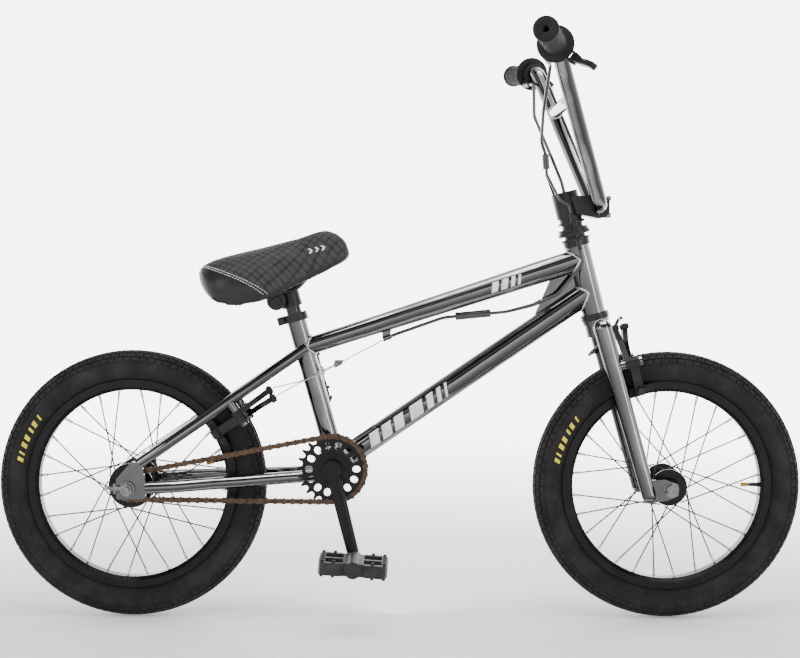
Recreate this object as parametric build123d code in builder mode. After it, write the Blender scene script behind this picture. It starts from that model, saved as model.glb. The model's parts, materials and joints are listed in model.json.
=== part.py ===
from build123d import *
import math
import os

os.makedirs("parts", exist_ok=True)

# ---------------------------------------------------------------- driving dimensions, in mm
# +X forward, -Y the drive side (right of the rider), +Z up, origin on the ground between the axles.
AXLE_Z = 199.0                  # wheel radius: the tyres stand on z = 0
FRONT_X = 397.5
REAR_X = -397.5
BB_X = -98.672                  # sets the chain length to a whole number of links
BB_Z = 226.3
FIT = 0.05                      # radial clearance of every running fit

STEER_LEAN = math.radians(14.5)
STEER_AXIS = Vector(-math.sin(STEER_LEAN), 0, math.cos(STEER_LEAN))
STEER_FORWARD = Vector(math.cos(STEER_LEAN), 0, math.sin(STEER_LEAN))
HEAD_TOP = Vector(262.4, 0, 554.7)
HEAD_LENGTH = 103.0
HEAD_R = 17.3
STEERER_R = 14.3

SEAT_TOP = Vector(-157.4, 0, 453.2)
SEAT_LEAN = math.radians(15.8)
SEAT_AXIS = Vector(-math.sin(SEAT_LEAN), 0, math.cos(SEAT_LEAN))
SEAT_TUBE_R = 14.3
SEAT_TUBE_LENGTH = 236.0
POST_R = 11.1

SHELL_R = 28.5
SHELL_HALF = 34.0
WALL = 2.0

CHAIN_Y = -42.0
PITCH = 12.7
FRONT_TEETH = 24
REAR_TEETH = 9
LINKS = 64
COG_HALF = 1.45

AXLE_R = 5.0
BAR_R = 11.1
SIDES = (-1, 1)
SIDEWAYS = Vector(0, 1, 0)


# ---------------------------------------------------------------- helpers
def direction(start, end):
    return (end - start).normalized()


def tube(start, end, radius, inner=0.0, mode=Mode.ADD):
    """A straight round bar or tube between two points."""
    plane = Plane(origin=start, z_dir=direction(start, end))
    with BuildSketch(plane) as section:
        Circle(radius)
        if inner > 0:
            Circle(inner, mode=Mode.SUBTRACT)
    extrude(section.sketch, amount=(end - start).length, mode=mode)


def cone(start, end, radius_start, radius_end, mode=Mode.ADD):
    """A straight round bar that tapers between two points."""
    plane = Plane(origin=start, z_dir=direction(start, end))
    add(Solid.make_cone(radius_start, radius_end, (end - start).length, plane), mode=mode)


def hexagon(start, end, across_flats, inner=0.0):
    with BuildSketch(Plane(origin=start, z_dir=direction(start, end))) as section:
        RegularPolygon(across_flats / 2, 6, major_radius=False)
        if inner > 0:
            Circle(inner, mode=Mode.SUBTRACT)
    extrude(section.sketch, amount=(end - start).length)


def bent_bar(points, radii, radius, inner=0.0, mode=Mode.ADD):
    """A round bar bent along straight runs and arcs."""
    with BuildLine() as route:
        FilletPolyline(*points, radius=radii)
    wire = route.wires()[0]
    with BuildSketch(Plane(origin=wire @ 0, z_dir=wire % 0)) as section:
        Circle(radius)
        if inner > 0:
            Circle(inner, mode=Mode.SUBTRACT)
    sweep(section.sketch, path=wire, mode=mode)


def save(builder, label):
    builder.part.label = label
    export_step(builder.part, f"parts/{label}.step")


def along_steer(distance, forward=0.0, side=0.0):
    """A point on the steering axis, measured up from the head tube's top."""
    return HEAD_TOP + STEER_AXIS * distance + STEER_FORWARD * forward + Vector(0, side, 0)


def along_seat(distance, side=0.0):
    return SEAT_TOP + SEAT_AXIS * distance + Vector(0, side, 0)


def on_side(point, side):
    x, y, z = tuple(point)
    return Vector(x, side * y, z)


BB = Vector(BB_X, 0, BB_Z)
REAR = Vector(REAR_X, 0, AXLE_Z)
FRONT = Vector(FRONT_X, 0, AXLE_Z)
TOP_TUBE_REAR = Vector(-138.7, 0, 403.24)
TOP_TUBE_FRONT = Vector(268.0, 0, 535.5)
DOWN_TUBE_FRONT = Vector(280.0, 0, 487.0)
HEAD_BOTTOM = along_steer(-HEAD_LENGTH)

# ---------------------------------------------------------------- frame tubes
with BuildPart() as head_tube:
    tube(HEAD_BOTTOM, HEAD_TOP, HEAD_R, HEAD_R - WALL)
save(head_tube, "head_tube")

with BuildPart() as seat_tube:
    tube(along_seat(-SEAT_TUBE_LENGTH), SEAT_TOP, SEAT_TUBE_R, POST_R + FIT)
    tube(BB - SIDEWAYS * 40, BB + SIDEWAYS * 40, SHELL_R, mode=Mode.SUBTRACT)
save(seat_tube, "seat_tube")

TOP_TUBE_R_REAR = 13.2
TOP_TUBE_R_FRONT = 17.0
TOP_TUBE_STRAIGHT = 60.0


def top_tube_bar(inset, mode):
    """The top tube, straight at its ends and tapering between them, drawn inset from its outside."""
    along = direction(TOP_TUBE_REAR, TOP_TUBE_FRONT)
    taper_start = TOP_TUBE_REAR + along * TOP_TUBE_STRAIGHT
    taper_end = TOP_TUBE_FRONT - along * TOP_TUBE_STRAIGHT
    tube(TOP_TUBE_REAR, taper_start, TOP_TUBE_R_REAR - inset, mode=mode)
    cone(taper_start, taper_end, TOP_TUBE_R_REAR - inset, TOP_TUBE_R_FRONT - inset, mode=mode)
    tube(taper_end, TOP_TUBE_FRONT, TOP_TUBE_R_FRONT - inset, mode=mode)


with BuildPart() as top_tube:
    top_tube_bar(0, Mode.ADD)
    top_tube_bar(WALL, Mode.SUBTRACT)
    tube(HEAD_BOTTOM, HEAD_TOP + STEER_AXIS * 10, HEAD_R, mode=Mode.SUBTRACT)
    tube(along_seat(-120), along_seat(20), SEAT_TUBE_R, mode=Mode.SUBTRACT)
save(top_tube, "top_tube")

DOWN_TUBE_R = 17.0
with BuildPart() as down_tube:
    tube(BB, DOWN_TUBE_FRONT, DOWN_TUBE_R)
    # gusset web in the corner behind the head tube
    with BuildSketch(Plane.XZ.offset(-2)):
        with BuildLine():
            Polyline((196, 444), (284, 505), (266, 530), (228, 518), close=True)
        make_face()
    extrude(amount=4)
    tube(BB, DOWN_TUBE_FRONT + direction(BB, DOWN_TUBE_FRONT) * 20, DOWN_TUBE_R - WALL,
         mode=Mode.SUBTRACT)
    tube(BB - SIDEWAYS * 40, BB + SIDEWAYS * 40, SHELL_R, mode=Mode.SUBTRACT)
    tube(along_seat(-SEAT_TUBE_LENGTH), SEAT_TOP, SEAT_TUBE_R, mode=Mode.SUBTRACT)
    tube(HEAD_BOTTOM - STEER_AXIS * 10, HEAD_TOP, HEAD_R, mode=Mode.SUBTRACT)
    top_tube_bar(0, Mode.SUBTRACT)
save(down_tube, "down_tube")

with BuildPart() as bottom_bracket_shell:
    tube(BB - SIDEWAYS * SHELL_HALF, BB + SIDEWAYS * SHELL_HALF, SHELL_R, SHELL_R - 3.0)
save(bottom_bracket_shell, "bottom_bracket_shell")

# ---------------------------------------------------------------- rear triangle
DROPOUT_INNER = 55.0
DROPOUT_THICK = 5.0
STAY_Y = DROPOUT_INNER + DROPOUT_THICK / 2
CHAIN_STAY_R = 9.0
SEAT_STAY_R = 8.0
chain_stay_route = ((-371, STAY_Y, 199.6), (-330, STAY_Y, 202), (-232, 40.5, 207.5),
                    (-170, 28, 211), (BB_X, 22, 215.5))
with BuildPart() as chain_stays:
    for side in SIDES:
        bent_bar([on_side(p, side) for p in chain_stay_route], [90, 120, 120], CHAIN_STAY_R)
    tube(BB - SIDEWAYS * 40, BB + SIDEWAYS * 40, SHELL_R, mode=Mode.SUBTRACT)
save(chain_stays, "chain_stays")

STAY_DIR = Vector(0.8222, 0, 0.5692)
STAY_OUT = Vector(0.5692, 0, -0.8222)     # forward and down, square to the seat stay
seat_stay_route = ((-380, STAY_Y, 236), (-345, STAY_Y, 260.2), (-232, 38.5, 338.4), (-139, 16, 402.8))

# rim brake pivots, the same on the fork and on the seat stays
PIVOT_Y = 42.0
PIVOT_R = 4.0
BOSS_END = 17.0
HUB_END = 38.0


def brake_pivots(foot, outward):
    """A boss, its pin and the screw head, out of a leg or stay."""
    for side in SIDES:
        base = on_side((foot.X, PIVOT_Y, foot.Z), side)
        tube(base, base + outward * BOSS_END, 7.5)
        tube(base + outward * BOSS_END, base + outward * (HUB_END + 0.4), PIVOT_R)
        tube(base + outward * (HUB_END + 0.4), base + outward * (HUB_END + 4.5), 7.0)


REAR_PIVOT_ALONG = 157.0
rear_pivot_foot = Vector(-380, 0, 236) + STAY_DIR * REAR_PIVOT_ALONG
with BuildPart() as seat_stays:
    for side in SIDES:
        bent_bar([on_side(p, side) for p in seat_stay_route], [90, 120], SEAT_STAY_R)
    brake_pivots(rear_pivot_foot, STAY_OUT)
    # bridge between the stays, above the tyre
    bridge = Vector(-380, 0, 236) + STAY_DIR * 224
    tube(bridge - SIDEWAYS * 30, bridge + SIDEWAYS * 30, 6.0)
    tube(along_seat(-130), along_seat(20), SEAT_TUBE_R, mode=Mode.SUBTRACT)
    top_tube_bar(0, Mode.SUBTRACT)
save(seat_stays, "seat_stays")

with BuildPart() as rear_dropouts:
    for side in SIDES:
        outer = side * (DROPOUT_INNER + DROPOUT_THICK)
        inner = side * DROPOUT_INNER
        with BuildSketch(Plane.XZ.offset(-max(outer, inner))):
            with BuildLine():
                FilletPolyline((-414, 183), (-414, 213), (-391, 239), (-376, 235), (-371, 208),
                               (-371, 186),
                               (-376, 183), radius=3, close=True)
            make_face()
            with Locations((REAR_X, AXLE_Z)):
                Circle(AXLE_R + FIT, mode=Mode.SUBTRACT)
            with Locations(((REAR_X - 430) / 2, AXLE_Z)):
                Rectangle(REAR_X + 430, 2 * (AXLE_R + FIT), mode=Mode.SUBTRACT)
        extrude(amount=DROPOUT_THICK)
    for side in SIDES:
        for route, radius in ((chain_stay_route, CHAIN_STAY_R), (seat_stay_route, SEAT_STAY_R)):
            start = on_side(route[0], side)
            end = on_side(route[1], side)
            tube(start, end, radius, mode=Mode.SUBTRACT)
save(rear_dropouts, "rear_dropouts")

with BuildPart() as bearing_cups:
    for start, end, radius in ((0, 9, 19.5), (-HEAD_LENGTH - 9, -HEAD_LENGTH, 21.0)):
        tube(along_steer(start), along_steer(end), radius, STEERER_R + 0.07)
    for side in SIDES:
        tube(BB + SIDEWAYS * side * SHELL_HALF, BB + SIDEWAYS * side * (SHELL_HALF + 3.5), SHELL_R,
             11 + FIT)
save(bearing_cups, "bearing_cups")

with BuildPart() as seat_clamp:
    tube(along_seat(-12), along_seat(0), SEAT_TUBE_R + 4, SEAT_TUBE_R)
    with BuildSketch(Plane(origin=along_seat(-12), x_dir=(0, 1, 0), z_dir=SEAT_AXIS)):
        with Locations((0, 21)):
            Rectangle(17, 12)
        with Locations((0, 20)):
            Rectangle(2.5, 18, mode=Mode.SUBTRACT)
    extrude(amount=12)
    ear_back = Vector(-math.cos(SEAT_LEAN), 0, -math.sin(SEAT_LEAN)) * 22
    pinch = along_seat(-6) + ear_back
    tube(along_seat(-13), along_seat(1), SEAT_TUBE_R, mode=Mode.SUBTRACT)
    tube(pinch - SIDEWAYS * 12.5, pinch + SIDEWAYS * 12.5, 2.5)
    tube(pinch - SIDEWAYS * 13, pinch - SIDEWAYS * 8.5, 4.5)
    tube(pinch + SIDEWAYS * 8.5, pinch + SIDEWAYS * 13, 4.5)
save(seat_clamp, "seat_clamp")


# ---------------------------------------------------------------- axles
def axle(centre, reach, dropout_outer, dropout_inner, cone_start):
    """Threaded axle with its bearing cones and outer nuts."""
    tube(centre - SIDEWAYS * reach, centre + SIDEWAYS * reach, AXLE_R)
    for side in SIDES:
        tube(centre + SIDEWAYS * side * cone_start[side], centre + SIDEWAYS * side * dropout_inner, 8.5,
             AXLE_R)
        tube(centre + SIDEWAYS * side * dropout_outer, centre + SIDEWAYS * side * (dropout_outer + 1.5),
             11.0, AXLE_R)
        hexagon(centre + SIDEWAYS * side * (dropout_outer + 1.5),
                centre + SIDEWAYS * side * (dropout_outer + 9.5),
                15.0, AXLE_R)


TENSIONER_THICK = 2.5
REAR_AXLE_REACH = 78.0
with BuildPart() as rear_axle:
    axle(REAR, REAR_AXLE_REACH, 60 + TENSIONER_THICK, DROPOUT_INNER, {-1: 46.4, 1: 38.5})
save(rear_axle, "rear_axle")

with BuildPart() as chain_tensioners:
    for side in SIDES:
        low = min(side * 60, side * (60 + TENSIONER_THICK))
        with BuildSketch(Plane.XZ.offset(-low - TENSIONER_THICK)):
            with Locations((REAR_X, AXLE_Z)):
                Circle(9.0)
            with Locations(((REAR_X - 415) / 2, AXLE_Z)):
                Rectangle(415 + REAR_X, 7)
            with Locations((REAR_X, AXLE_Z)):
                Circle(AXLE_R, mode=Mode.SUBTRACT)
        extrude(amount=TENSIONER_THICK)
        bolt_y = side * 57.5
        with BuildSketch(Plane.YZ.offset(-418)):
            with Locations((side * 58.0, AXLE_Z)):
                Rectangle(9.0, 15)
            with Locations((bolt_y, AXLE_Z)):
                Circle(2.2, mode=Mode.SUBTRACT)
        extrude(amount=3.9)
        tube(Vector(-411, bolt_y, AXLE_Z), Vector(-429, bolt_y, AXLE_Z), 2.2)
        hexagon(Vector(-418, bolt_y, AXLE_Z), Vector(-423, bolt_y, AXLE_Z), 8.0, 2.2)
save(chain_tensioners, "chain_tensioners")


# ---------------------------------------------------------------- wheels
def wheel_plane(centre):
    return Plane(origin=centre, x_dir=(0, 1, 0), z_dir=(1, 0, 0))


RIM_OUTER = 155.5
RIM_INNER = 140.0
RIM_HALF = 14.0
BEAD_HALF = 11.2
SPOKES = 28
SPOKE_R = 1.0
VALVE_R = 3.0


def valve_points(centre, angle):
    ray = Vector(math.cos(angle), 0, math.sin(angle))
    return centre + ray * 112, centre + ray * 149


def make_tyre(centre, valve_angle, label):
    with BuildPart() as tyre:
        with BuildSketch(wheel_plane(centre)):
            with BuildLine():
                ThreePointArc((BEAD_HALF, 156), (24.3, 174), (19, 190.5))
                ThreePointArc((19, 190.5), (0, AXLE_Z), (-19, 190.5))
                ThreePointArc((-19, 190.5), (-24.3, 174), (-BEAD_HALF, 156))
                Polyline((-BEAD_HALF, 156), (-BEAD_HALF, 150.2), (-8.2, 150.2), (-8.2, 156))
                ThreePointArc((-8.2, 156), (-21, 173.5), (-16, 187))
                ThreePointArc((-16, 187), (0, 194.5), (16, 187))
                ThreePointArc((16, 187), (21, 173.5), (8.2, 156))
                Polyline((8.2, 156), (8.2, 150.2), (BEAD_HALF, 150.2), (BEAD_HALF, 156))
            make_face()
        revolve(axis=Axis(centre, (0, 1, 0)))
        cap, root = valve_points(centre, valve_angle)
        tube(cap, root, VALVE_R)
    save(tyre, label)


def make_rim(centre, valve_angle, label):
    with BuildPart() as rim:
        with BuildSketch(wheel_plane(centre)):
            with BuildLine():
                Polyline((RIM_HALF, RIM_OUTER), (RIM_HALF, 145), (9, RIM_INNER), (-9, RIM_INNER),
                         (-RIM_HALF, 145),
                         (-RIM_HALF, RIM_OUTER), (-BEAD_HALF - 0.4, RIM_OUTER), (-BEAD_HALF - 0.4,
                                                                                 149.8),
                         (-6.5, 149.8), (-6.5, 146), (6.5, 146), (6.5, 149.8), (BEAD_HALF + 0.4, 149.8),
                         (BEAD_HALF + 0.4, RIM_OUTER), close=True)
            make_face()
        revolve(axis=Axis(centre, (0, 1, 0)))
        cap, root = valve_points(centre, valve_angle)
        tube(cap, root, VALVE_R + 0.1, mode=Mode.SUBTRACT)
    save(rim, label)


LACING = math.radians(58)


def make_spokes(centre, flange_y, flange_r, first_angle, label):
    """Crossed wire spokes, each with the nipple that holds it in the rim."""
    start_r = flange_r + 1.2
    end_r = RIM_INNER - 0.1
    with BuildPart() as spokes:
        for layer in SIDES:
            for flange in SIDES:
                wire_planes = []
                nipple_planes = []
                for index in range(SPOKES // 4):
                    slot = 4 * index + (flange + 1) // 2 + (layer + 1)
                    angle = first_angle + 2 * math.pi * slot / SPOKES
                    hub_angle = angle + layer * LACING
                    foot = centre + Vector(start_r * math.cos(hub_angle), flange_y[flange] + layer * 1.6,
                                           start_r * math.sin(hub_angle))
                    tip = centre + Vector(end_r * math.cos(angle), flange * 2.0, end_r * math.sin(angle))
                    run = direction(foot, tip)
                    wire_planes.append(Plane(origin=foot, z_dir=run))
                    nipple_planes.append(Plane(origin=tip - run * 11.5, z_dir=run))
                length = (tip - foot).length - 1.0
                with BuildSketch(*wire_planes):
                    Circle(SPOKE_R)
                extrude(amount=length)
                with BuildSketch(*nipple_planes):
                    Circle(1.9)
                extrude(amount=10.5)
    save(spokes, label)


def make_hub(centre, flange_y, flange_r, barrel_r, ends, label):
    low, high = ends
    with BuildPart() as hub:
        with BuildSketch(wheel_plane(centre)):
            with BuildLine():
                Polyline((low, AXLE_R + FIT), (low, 12), (flange_y[-1] - 1.6, 15),
                         (flange_y[-1] - 1.6, flange_r),
                         (flange_y[-1] + 1.6, flange_r), (flange_y[-1] + 3.5, barrel_r),
                         (flange_y[1] - 3.5, barrel_r), (flange_y[1] - 1.6, flange_r),
                         (flange_y[1] + 1.6, flange_r), (flange_y[1] + 1.6, 15), (high, 12),
                         (high, AXLE_R + FIT), close=True)
            make_face()
        revolve(axis=Axis(centre, (0, 1, 0)))
    save(hub, label)


FRONT_VALVE = 0.0
REAR_VALVE = math.radians(15)
FRONT_FLANGES = {-1: -31.0, 1: 31.0}
REAR_FLANGES = {-1: -28.0, 1: 33.0}
HALF_STEP = math.pi / SPOKES

make_tyre(FRONT, FRONT_VALVE, "front_tyre")
make_rim(FRONT, FRONT_VALVE, "front_rim")
make_spokes(FRONT, FRONT_FLANGES, 27.0, HALF_STEP, "front_spokes")
make_hub(FRONT, FRONT_FLANGES, 27.0, 15.0, (-40.0, 40.0), "front_hub")
make_tyre(REAR, REAR_VALVE, "rear_tyre")
make_rim(REAR, REAR_VALVE, "rear_rim")
make_spokes(REAR, REAR_FLANGES, 33.0, REAR_VALVE + HALF_STEP, "rear_spokes")
make_hub(REAR, REAR_FLANGES, 33.0, 18.0, (-36.0, 38.0), "rear_hub")

# ---------------------------------------------------------------- chain drive
FRONT_PITCH_R = PITCH / 2 / math.sin(math.pi / FRONT_TEETH)
REAR_PITCH_R = PITCH / 2 / math.sin(math.pi / REAR_TEETH)
CENTRES = REAR - BB
DRIVE_LENGTH = CENTRES.length
DRIVE_SLOPE = math.atan2(CENTRES.Z, CENTRES.X)
WRAP = math.acos((FRONT_PITCH_R - REAR_PITCH_R) / DRIVE_LENGTH)
SPAN = math.sqrt(DRIVE_LENGTH ** 2 - (FRONT_PITCH_R - REAR_PITCH_R) ** 2)
UPPER = DRIVE_SLOPE - WRAP
LOWER = DRIVE_SLOPE + WRAP
FRONT_ARC = FRONT_PITCH_R * (2 * math.pi - 2 * WRAP)
REAR_ARC = REAR_PITCH_R * 2 * WRAP


def polar(centre, radius, angle):
    return Vector(centre.X + radius * math.cos(angle), CHAIN_Y, centre.Z + radius * math.sin(angle))


def chain_point(travel):
    """A point on the chain's loop: round the sprocket, along the top run, round the cog, and back."""
    travel = travel % (FRONT_ARC + REAR_ARC + 2 * SPAN)
    if travel < FRONT_ARC:
        return polar(BB, FRONT_PITCH_R, LOWER - 2 * math.pi + travel / FRONT_PITCH_R)
    travel -= FRONT_ARC
    if travel < SPAN:
        start = polar(BB, FRONT_PITCH_R, UPPER)
        return start + (polar(REAR, REAR_PITCH_R, UPPER) - start) * (travel / SPAN)
    travel -= SPAN
    if travel < REAR_ARC:
        return polar(REAR, REAR_PITCH_R, UPPER + travel / REAR_PITCH_R)
    travel -= REAR_ARC
    start = polar(REAR, REAR_PITCH_R, LOWER)
    return start + (polar(BB, FRONT_PITCH_R, LOWER) - start) * (travel / SPAN)


def next_pin(travel):
    """The travel of the next pin, one pitch on in a straight line."""
    here = chain_point(travel)
    near = travel + PITCH * 0.9
    far = travel + PITCH * 1.2
    for step in range(50):
        middle = (near + far) / 2
        if (chain_point(middle) - here).length < PITCH:
            near = middle
        else:
            far = middle
    return near


travel = FRONT_PITCH_R * math.radians(6)
pins = []
travels = []
for link in range(LINKS):
    pins.append(chain_point(travel))
    travels.append(travel)
    travel = next_pin(travel)
front_phase = LOWER + travels[0] / FRONT_PITCH_R
rear_seated = [t for t in travels if FRONT_ARC + SPAN < t < FRONT_ARC + SPAN + REAR_ARC][1]
rear_phase = UPPER + (rear_seated - FRONT_ARC - SPAN) / REAR_PITCH_R

PLATE_THICK = 1.0
INNER_HALF = 1.75
OUTER_HALF = INNER_HALF + PLATE_THICK + 0.15
PIN_R = 1.8
ROLLER_R = 3.85


def link_plate(first, second, y, height):
    """One chain side plate: two rounded ends and a straight middle."""
    middle = (first + second) / 2
    angle = math.degrees(math.atan2(second.Z - first.Z, second.X - first.X))
    with BuildSketch(Plane.XZ.offset(-y - PLATE_THICK)) as plate:
        with Locations((first.X, first.Z), (second.X, second.Z)):
            Circle(height)
        with Locations(Location((middle.X, middle.Z), angle)):
            Rectangle(PITCH, height * 1.5)
    extrude(plate.sketch, amount=PLATE_THICK)


def build_link(first, second, half, height):
    for y in (CHAIN_Y - half - PLATE_THICK, CHAIN_Y + half):
        link_plate(first, second, y, height)


with BuildPart() as chain:
    links = []
    for number in range(LINKS):
        first = pins[number]
        second = pins[(number + 1) % LINKS]
        with BuildPart(mode=Mode.PRIVATE) as single:
            if number % 2 == 0:
                build_link(first, second, INNER_HALF, 4.3)
                for pin in (first, second):
                    tube(pin - SIDEWAYS * INNER_HALF, pin + SIDEWAYS * INNER_HALF, ROLLER_R)
                for pin in (first, second):
                    tube(pin - SIDEWAYS * 4, pin + SIDEWAYS * 4, PIN_R + FIT, mode=Mode.SUBTRACT)
            else:
                build_link(first, second, OUTER_HALF, 4.3)
                for pin in (first, second):
                    tube(pin - SIDEWAYS * 4.3, pin + SIDEWAYS * 4.3, PIN_R)
        links.append(single.part)
    add(Compound(children=links))
save(chain, "chain")


def tooth_gaps(centre, teeth, pitch_r, tip_r, phase, flare):
    """Cuts the roller seats of a chain wheel."""
    seat = ROLLER_R + 0.2
    for tooth in range(teeth):
        angle = phase + 2 * math.pi * tooth / teeth
        seat_point = polar(centre, pitch_r, angle)
        with Locations(Location((seat_point.X, seat_point.Z), math.degrees(angle))):
            Circle(seat, mode=Mode.SUBTRACT)
            reach = tip_r - pitch_r + 1
            Polygon((0, -seat), (reach, -seat - flare), (reach, seat + flare), (0, seat),
                    align=None, mode=Mode.SUBTRACT)


SPROCKET_TIP = 52.4
SPROCKET_HOLES = 14
with BuildPart() as sprocket:
    with BuildSketch(Plane.XZ.offset(-CHAIN_Y - COG_HALF)):
        with Locations((BB.X, BB.Z)):
            Circle(SPROCKET_TIP)
        tooth_gaps(BB, FRONT_TEETH, FRONT_PITCH_R, SPROCKET_TIP, front_phase, 2.1)
        with Locations((BB.X, BB.Z)):
            Circle(11.0, mode=Mode.SUBTRACT)
            with PolarLocations(35.0, SPROCKET_HOLES):
                SlotOverall(11.5, 9.6, mode=Mode.SUBTRACT)
    extrude(amount=2 * COG_HALF)
    with BuildSketch(Plane.XZ.offset(-CHAIN_Y + COG_HALF)):
        with Locations((BB.X, BB.Z)):
            Circle(23.0)
            Circle(11.0, mode=Mode.SUBTRACT)
    extrude(amount=1.6)
save(sprocket, "sprocket")

COG_TIP = 22.0
with BuildPart() as driver_cog:
    with BuildSketch(Plane.XZ.offset(-CHAIN_Y - COG_HALF)):
        with Locations((REAR.X, REAR.Z)):
            Circle(COG_TIP)
        tooth_gaps(REAR, REAR_TEETH, REAR_PITCH_R, COG_TIP, rear_phase, 4.4)
    extrude(amount=2 * COG_HALF)
    tube(REAR - SIDEWAYS * 36.4, REAR - SIDEWAYS * 46.0, 13.0)
    tube(REAR - SIDEWAYS * 30, REAR - SIDEWAYS * 50, AXLE_R + FIT, mode=Mode.SUBTRACT)
save(driver_cog, "driver_cog")

# ---------------------------------------------------------------- crank and pedals
CRANK_LENGTH = 130.5
CRANK_ANGLE = math.radians(-75.4)
CRANK_DIR = Vector(math.cos(CRANK_ANGLE), 0, math.sin(CRANK_ANGLE))
SPINDLE_R = 11.0
EYE_Y = 71.0
EYE_HALF = 6.5
PEDAL_SPINDLE_R = 6.0
pedal_eyes = {-1: BB + CRANK_DIR * CRANK_LENGTH, 1: BB - CRANK_DIR * CRANK_LENGTH}
with BuildPart() as crank:
    tube(BB - SIDEWAYS * 47, BB + SIDEWAYS * 47, SPINDLE_R)
    for side in SIDES:
        outward = CRANK_DIR * -side
        root = BB + SIDEWAYS * side * 54
        tip = BB + outward * CRANK_LENGTH + SIDEWAYS * side * EYE_Y
        tube(BB + SIDEWAYS * side * 47, BB + SIDEWAYS * side * 61, 14.0)
        axis = direction(root, tip)
        with BuildSketch(Plane(origin=root, x_dir=SIDEWAYS, z_dir=axis)):
            Ellipse(6.4, 10.5)
        with BuildSketch(Plane(origin=tip, x_dir=SIDEWAYS, z_dir=axis)):
            Ellipse(5.4, 8.6)
        loft()
        tube(tip - SIDEWAYS * side * EYE_HALF, tip + SIDEWAYS * side * EYE_HALF, 11.5)
    for side in SIDES:
        eye = pedal_eyes[side]
        tube(eye + SIDEWAYS * side * 60, eye + SIDEWAYS * side * 80, PEDAL_SPINDLE_R, mode=Mode.SUBTRACT)
save(crank, "crank")

PEDAL_INNER = 82.0
PEDAL_OUTER = 162.0
with BuildPart() as pedal_spindles:
    for side in SIDES:
        eye = pedal_eyes[side]
        start = EYE_Y - EYE_HALF
        tube(eye + SIDEWAYS * side * start, eye + SIDEWAYS * side * (PEDAL_OUTER - 6), PEDAL_SPINDLE_R)
        tube(eye + SIDEWAYS * side * (EYE_Y + EYE_HALF), eye + SIDEWAYS * side * (EYE_Y + EYE_HALF + 4),
             8.5)
save(pedal_spindles, "pedal_spindles")


def make_pedal(side, tilt, label):
    """A cage pedal: a core round the spindle, a studded rim and cross ribs."""
    eye = pedal_eyes[side]
    near = min(side * PEDAL_INNER, side * PEDAL_OUTER)
    width = PEDAL_OUTER - PEDAL_INNER
    forward = Vector(math.cos(tilt), 0, math.sin(tilt))
    upward = Vector(-math.sin(tilt), 0, math.cos(tilt))
    middle = Vector(eye.X, near + width / 2, eye.Z)
    flat = Plane(origin=middle - upward * 9, x_dir=forward, z_dir=upward)
    with BuildPart() as pedal:
        with BuildSketch(flat):
            with BuildLine():
                Polyline((-46, -40), (-49, -24), (-49, 24), (-46, 40), (-20, 40), (-14, 36), (14, 36),
                         (20, 40),
                         (46, 40), (49, 24), (49, -24), (46, -40), (20, -40), (14, -36), (-14,
                                                                                          -36), (-20,
                                                                                                 -40),
                         close=True)
            make_face()
            for x in (-27.5, 27.5):
                for y in (-17.5, 17.5):
                    with Locations((x, y)):
                        Rectangle(25, 27, mode=Mode.SUBTRACT)
        extrude(amount=18)
        tube(Vector(eye.X, near + 1, eye.Z), Vector(eye.X, near + width - 1, eye.Z), 12.0)
        for face in (-1, 1):
            studs = Plane(origin=middle + upward * face * 9, x_dir=forward, z_dir=upward * face)
            with BuildSketch(studs):
                with Locations(*[(x, y) for x in (-44, 44) for y in (-32, -16, 0, 16, 32)]):
                    Circle(2.2)
                with Locations(*[(x, y) for x in (-27.5, 27.5) for y in (-35, 35)]):
                    Circle(2.2)
            extrude(amount=3.2)
        tube(eye + SIDEWAYS * side * (PEDAL_INNER - 2), eye + SIDEWAYS * side * (PEDAL_OUTER - 5.5),
             PEDAL_SPINDLE_R + FIT, mode=Mode.SUBTRACT)
    save(pedal, label)


make_pedal(-1, math.radians(-4), "pedal_right")
make_pedal(1, math.radians(106), "pedal_left")

# ---------------------------------------------------------------- fork
LEG_TOP = Vector(297, 37, 434)
LEG_END = Vector(365, 52.5, 190)
LEG_DIR = Vector(0.26845, 0, -0.96329)
LEG_OUT = Vector(0.96329, 0, 0.26845)
FRONT_PIVOT_ALONG = 60.0
front_pivot_foot = Vector(LEG_TOP.X, 0, LEG_TOP.Z) + LEG_DIR * FRONT_PIVOT_ALONG
STEERER_TOP = 80.0
CROWN_TOP = -HEAD_LENGTH - 9.4
with BuildPart() as fork_legs:
    for side in SIDES:
        top = on_side(LEG_TOP, side)
        end = on_side(LEG_END, side)
        cone(top, end, 13.5, 10.5)
        with Locations(top):
            Sphere(13.5)
        with Locations(end):
            Sphere(10.5)
        inner = side * 50
        with BuildSketch(Plane.XZ.offset(-max(inner, inner + side * 5))):
            with BuildLine():
                FilletPolyline((358, 212), (362, 178), (392, 183), (408, 190), (408, 207), (388, 214),
                               radius=4,
                               close=True)
            make_face()
            with Locations((FRONT_X, AXLE_Z)):
                Circle(AXLE_R + 0.01, mode=Mode.SUBTRACT)
        extrude(amount=5)
    brake_pivots(front_pivot_foot, LEG_OUT)
save(fork_legs, "fork_legs")

with BuildPart() as fork_steerer:
    tube(along_steer(CROWN_TOP), along_steer(STEERER_TOP), STEERER_R)
    tube(along_steer(CROWN_TOP - 5), along_steer(CROWN_TOP), 20.0)
    tube(along_steer(CROWN_TOP - 24), along_steer(CROWN_TOP - 5), 18.0)
    crown = Vector(LEG_TOP.X, 0, LEG_TOP.Z)
    tube(crown - SIDEWAYS * 37, crown + SIDEWAYS * 37, 12.0)
    for side in SIDES:
        with Locations(on_side(LEG_TOP, side)):
            Sphere(13.5, mode=Mode.SUBTRACT)
        top = on_side(LEG_TOP, side)
        tube(top, top + (on_side(LEG_END, side) - top) * 0.3, 13.5, mode=Mode.SUBTRACT)
    tube(along_steer(CROWN_TOP - 50), along_steer(STEERER_TOP + 10), 11.8, mode=Mode.SUBTRACT)
save(fork_steerer, "fork_steerer")

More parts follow.
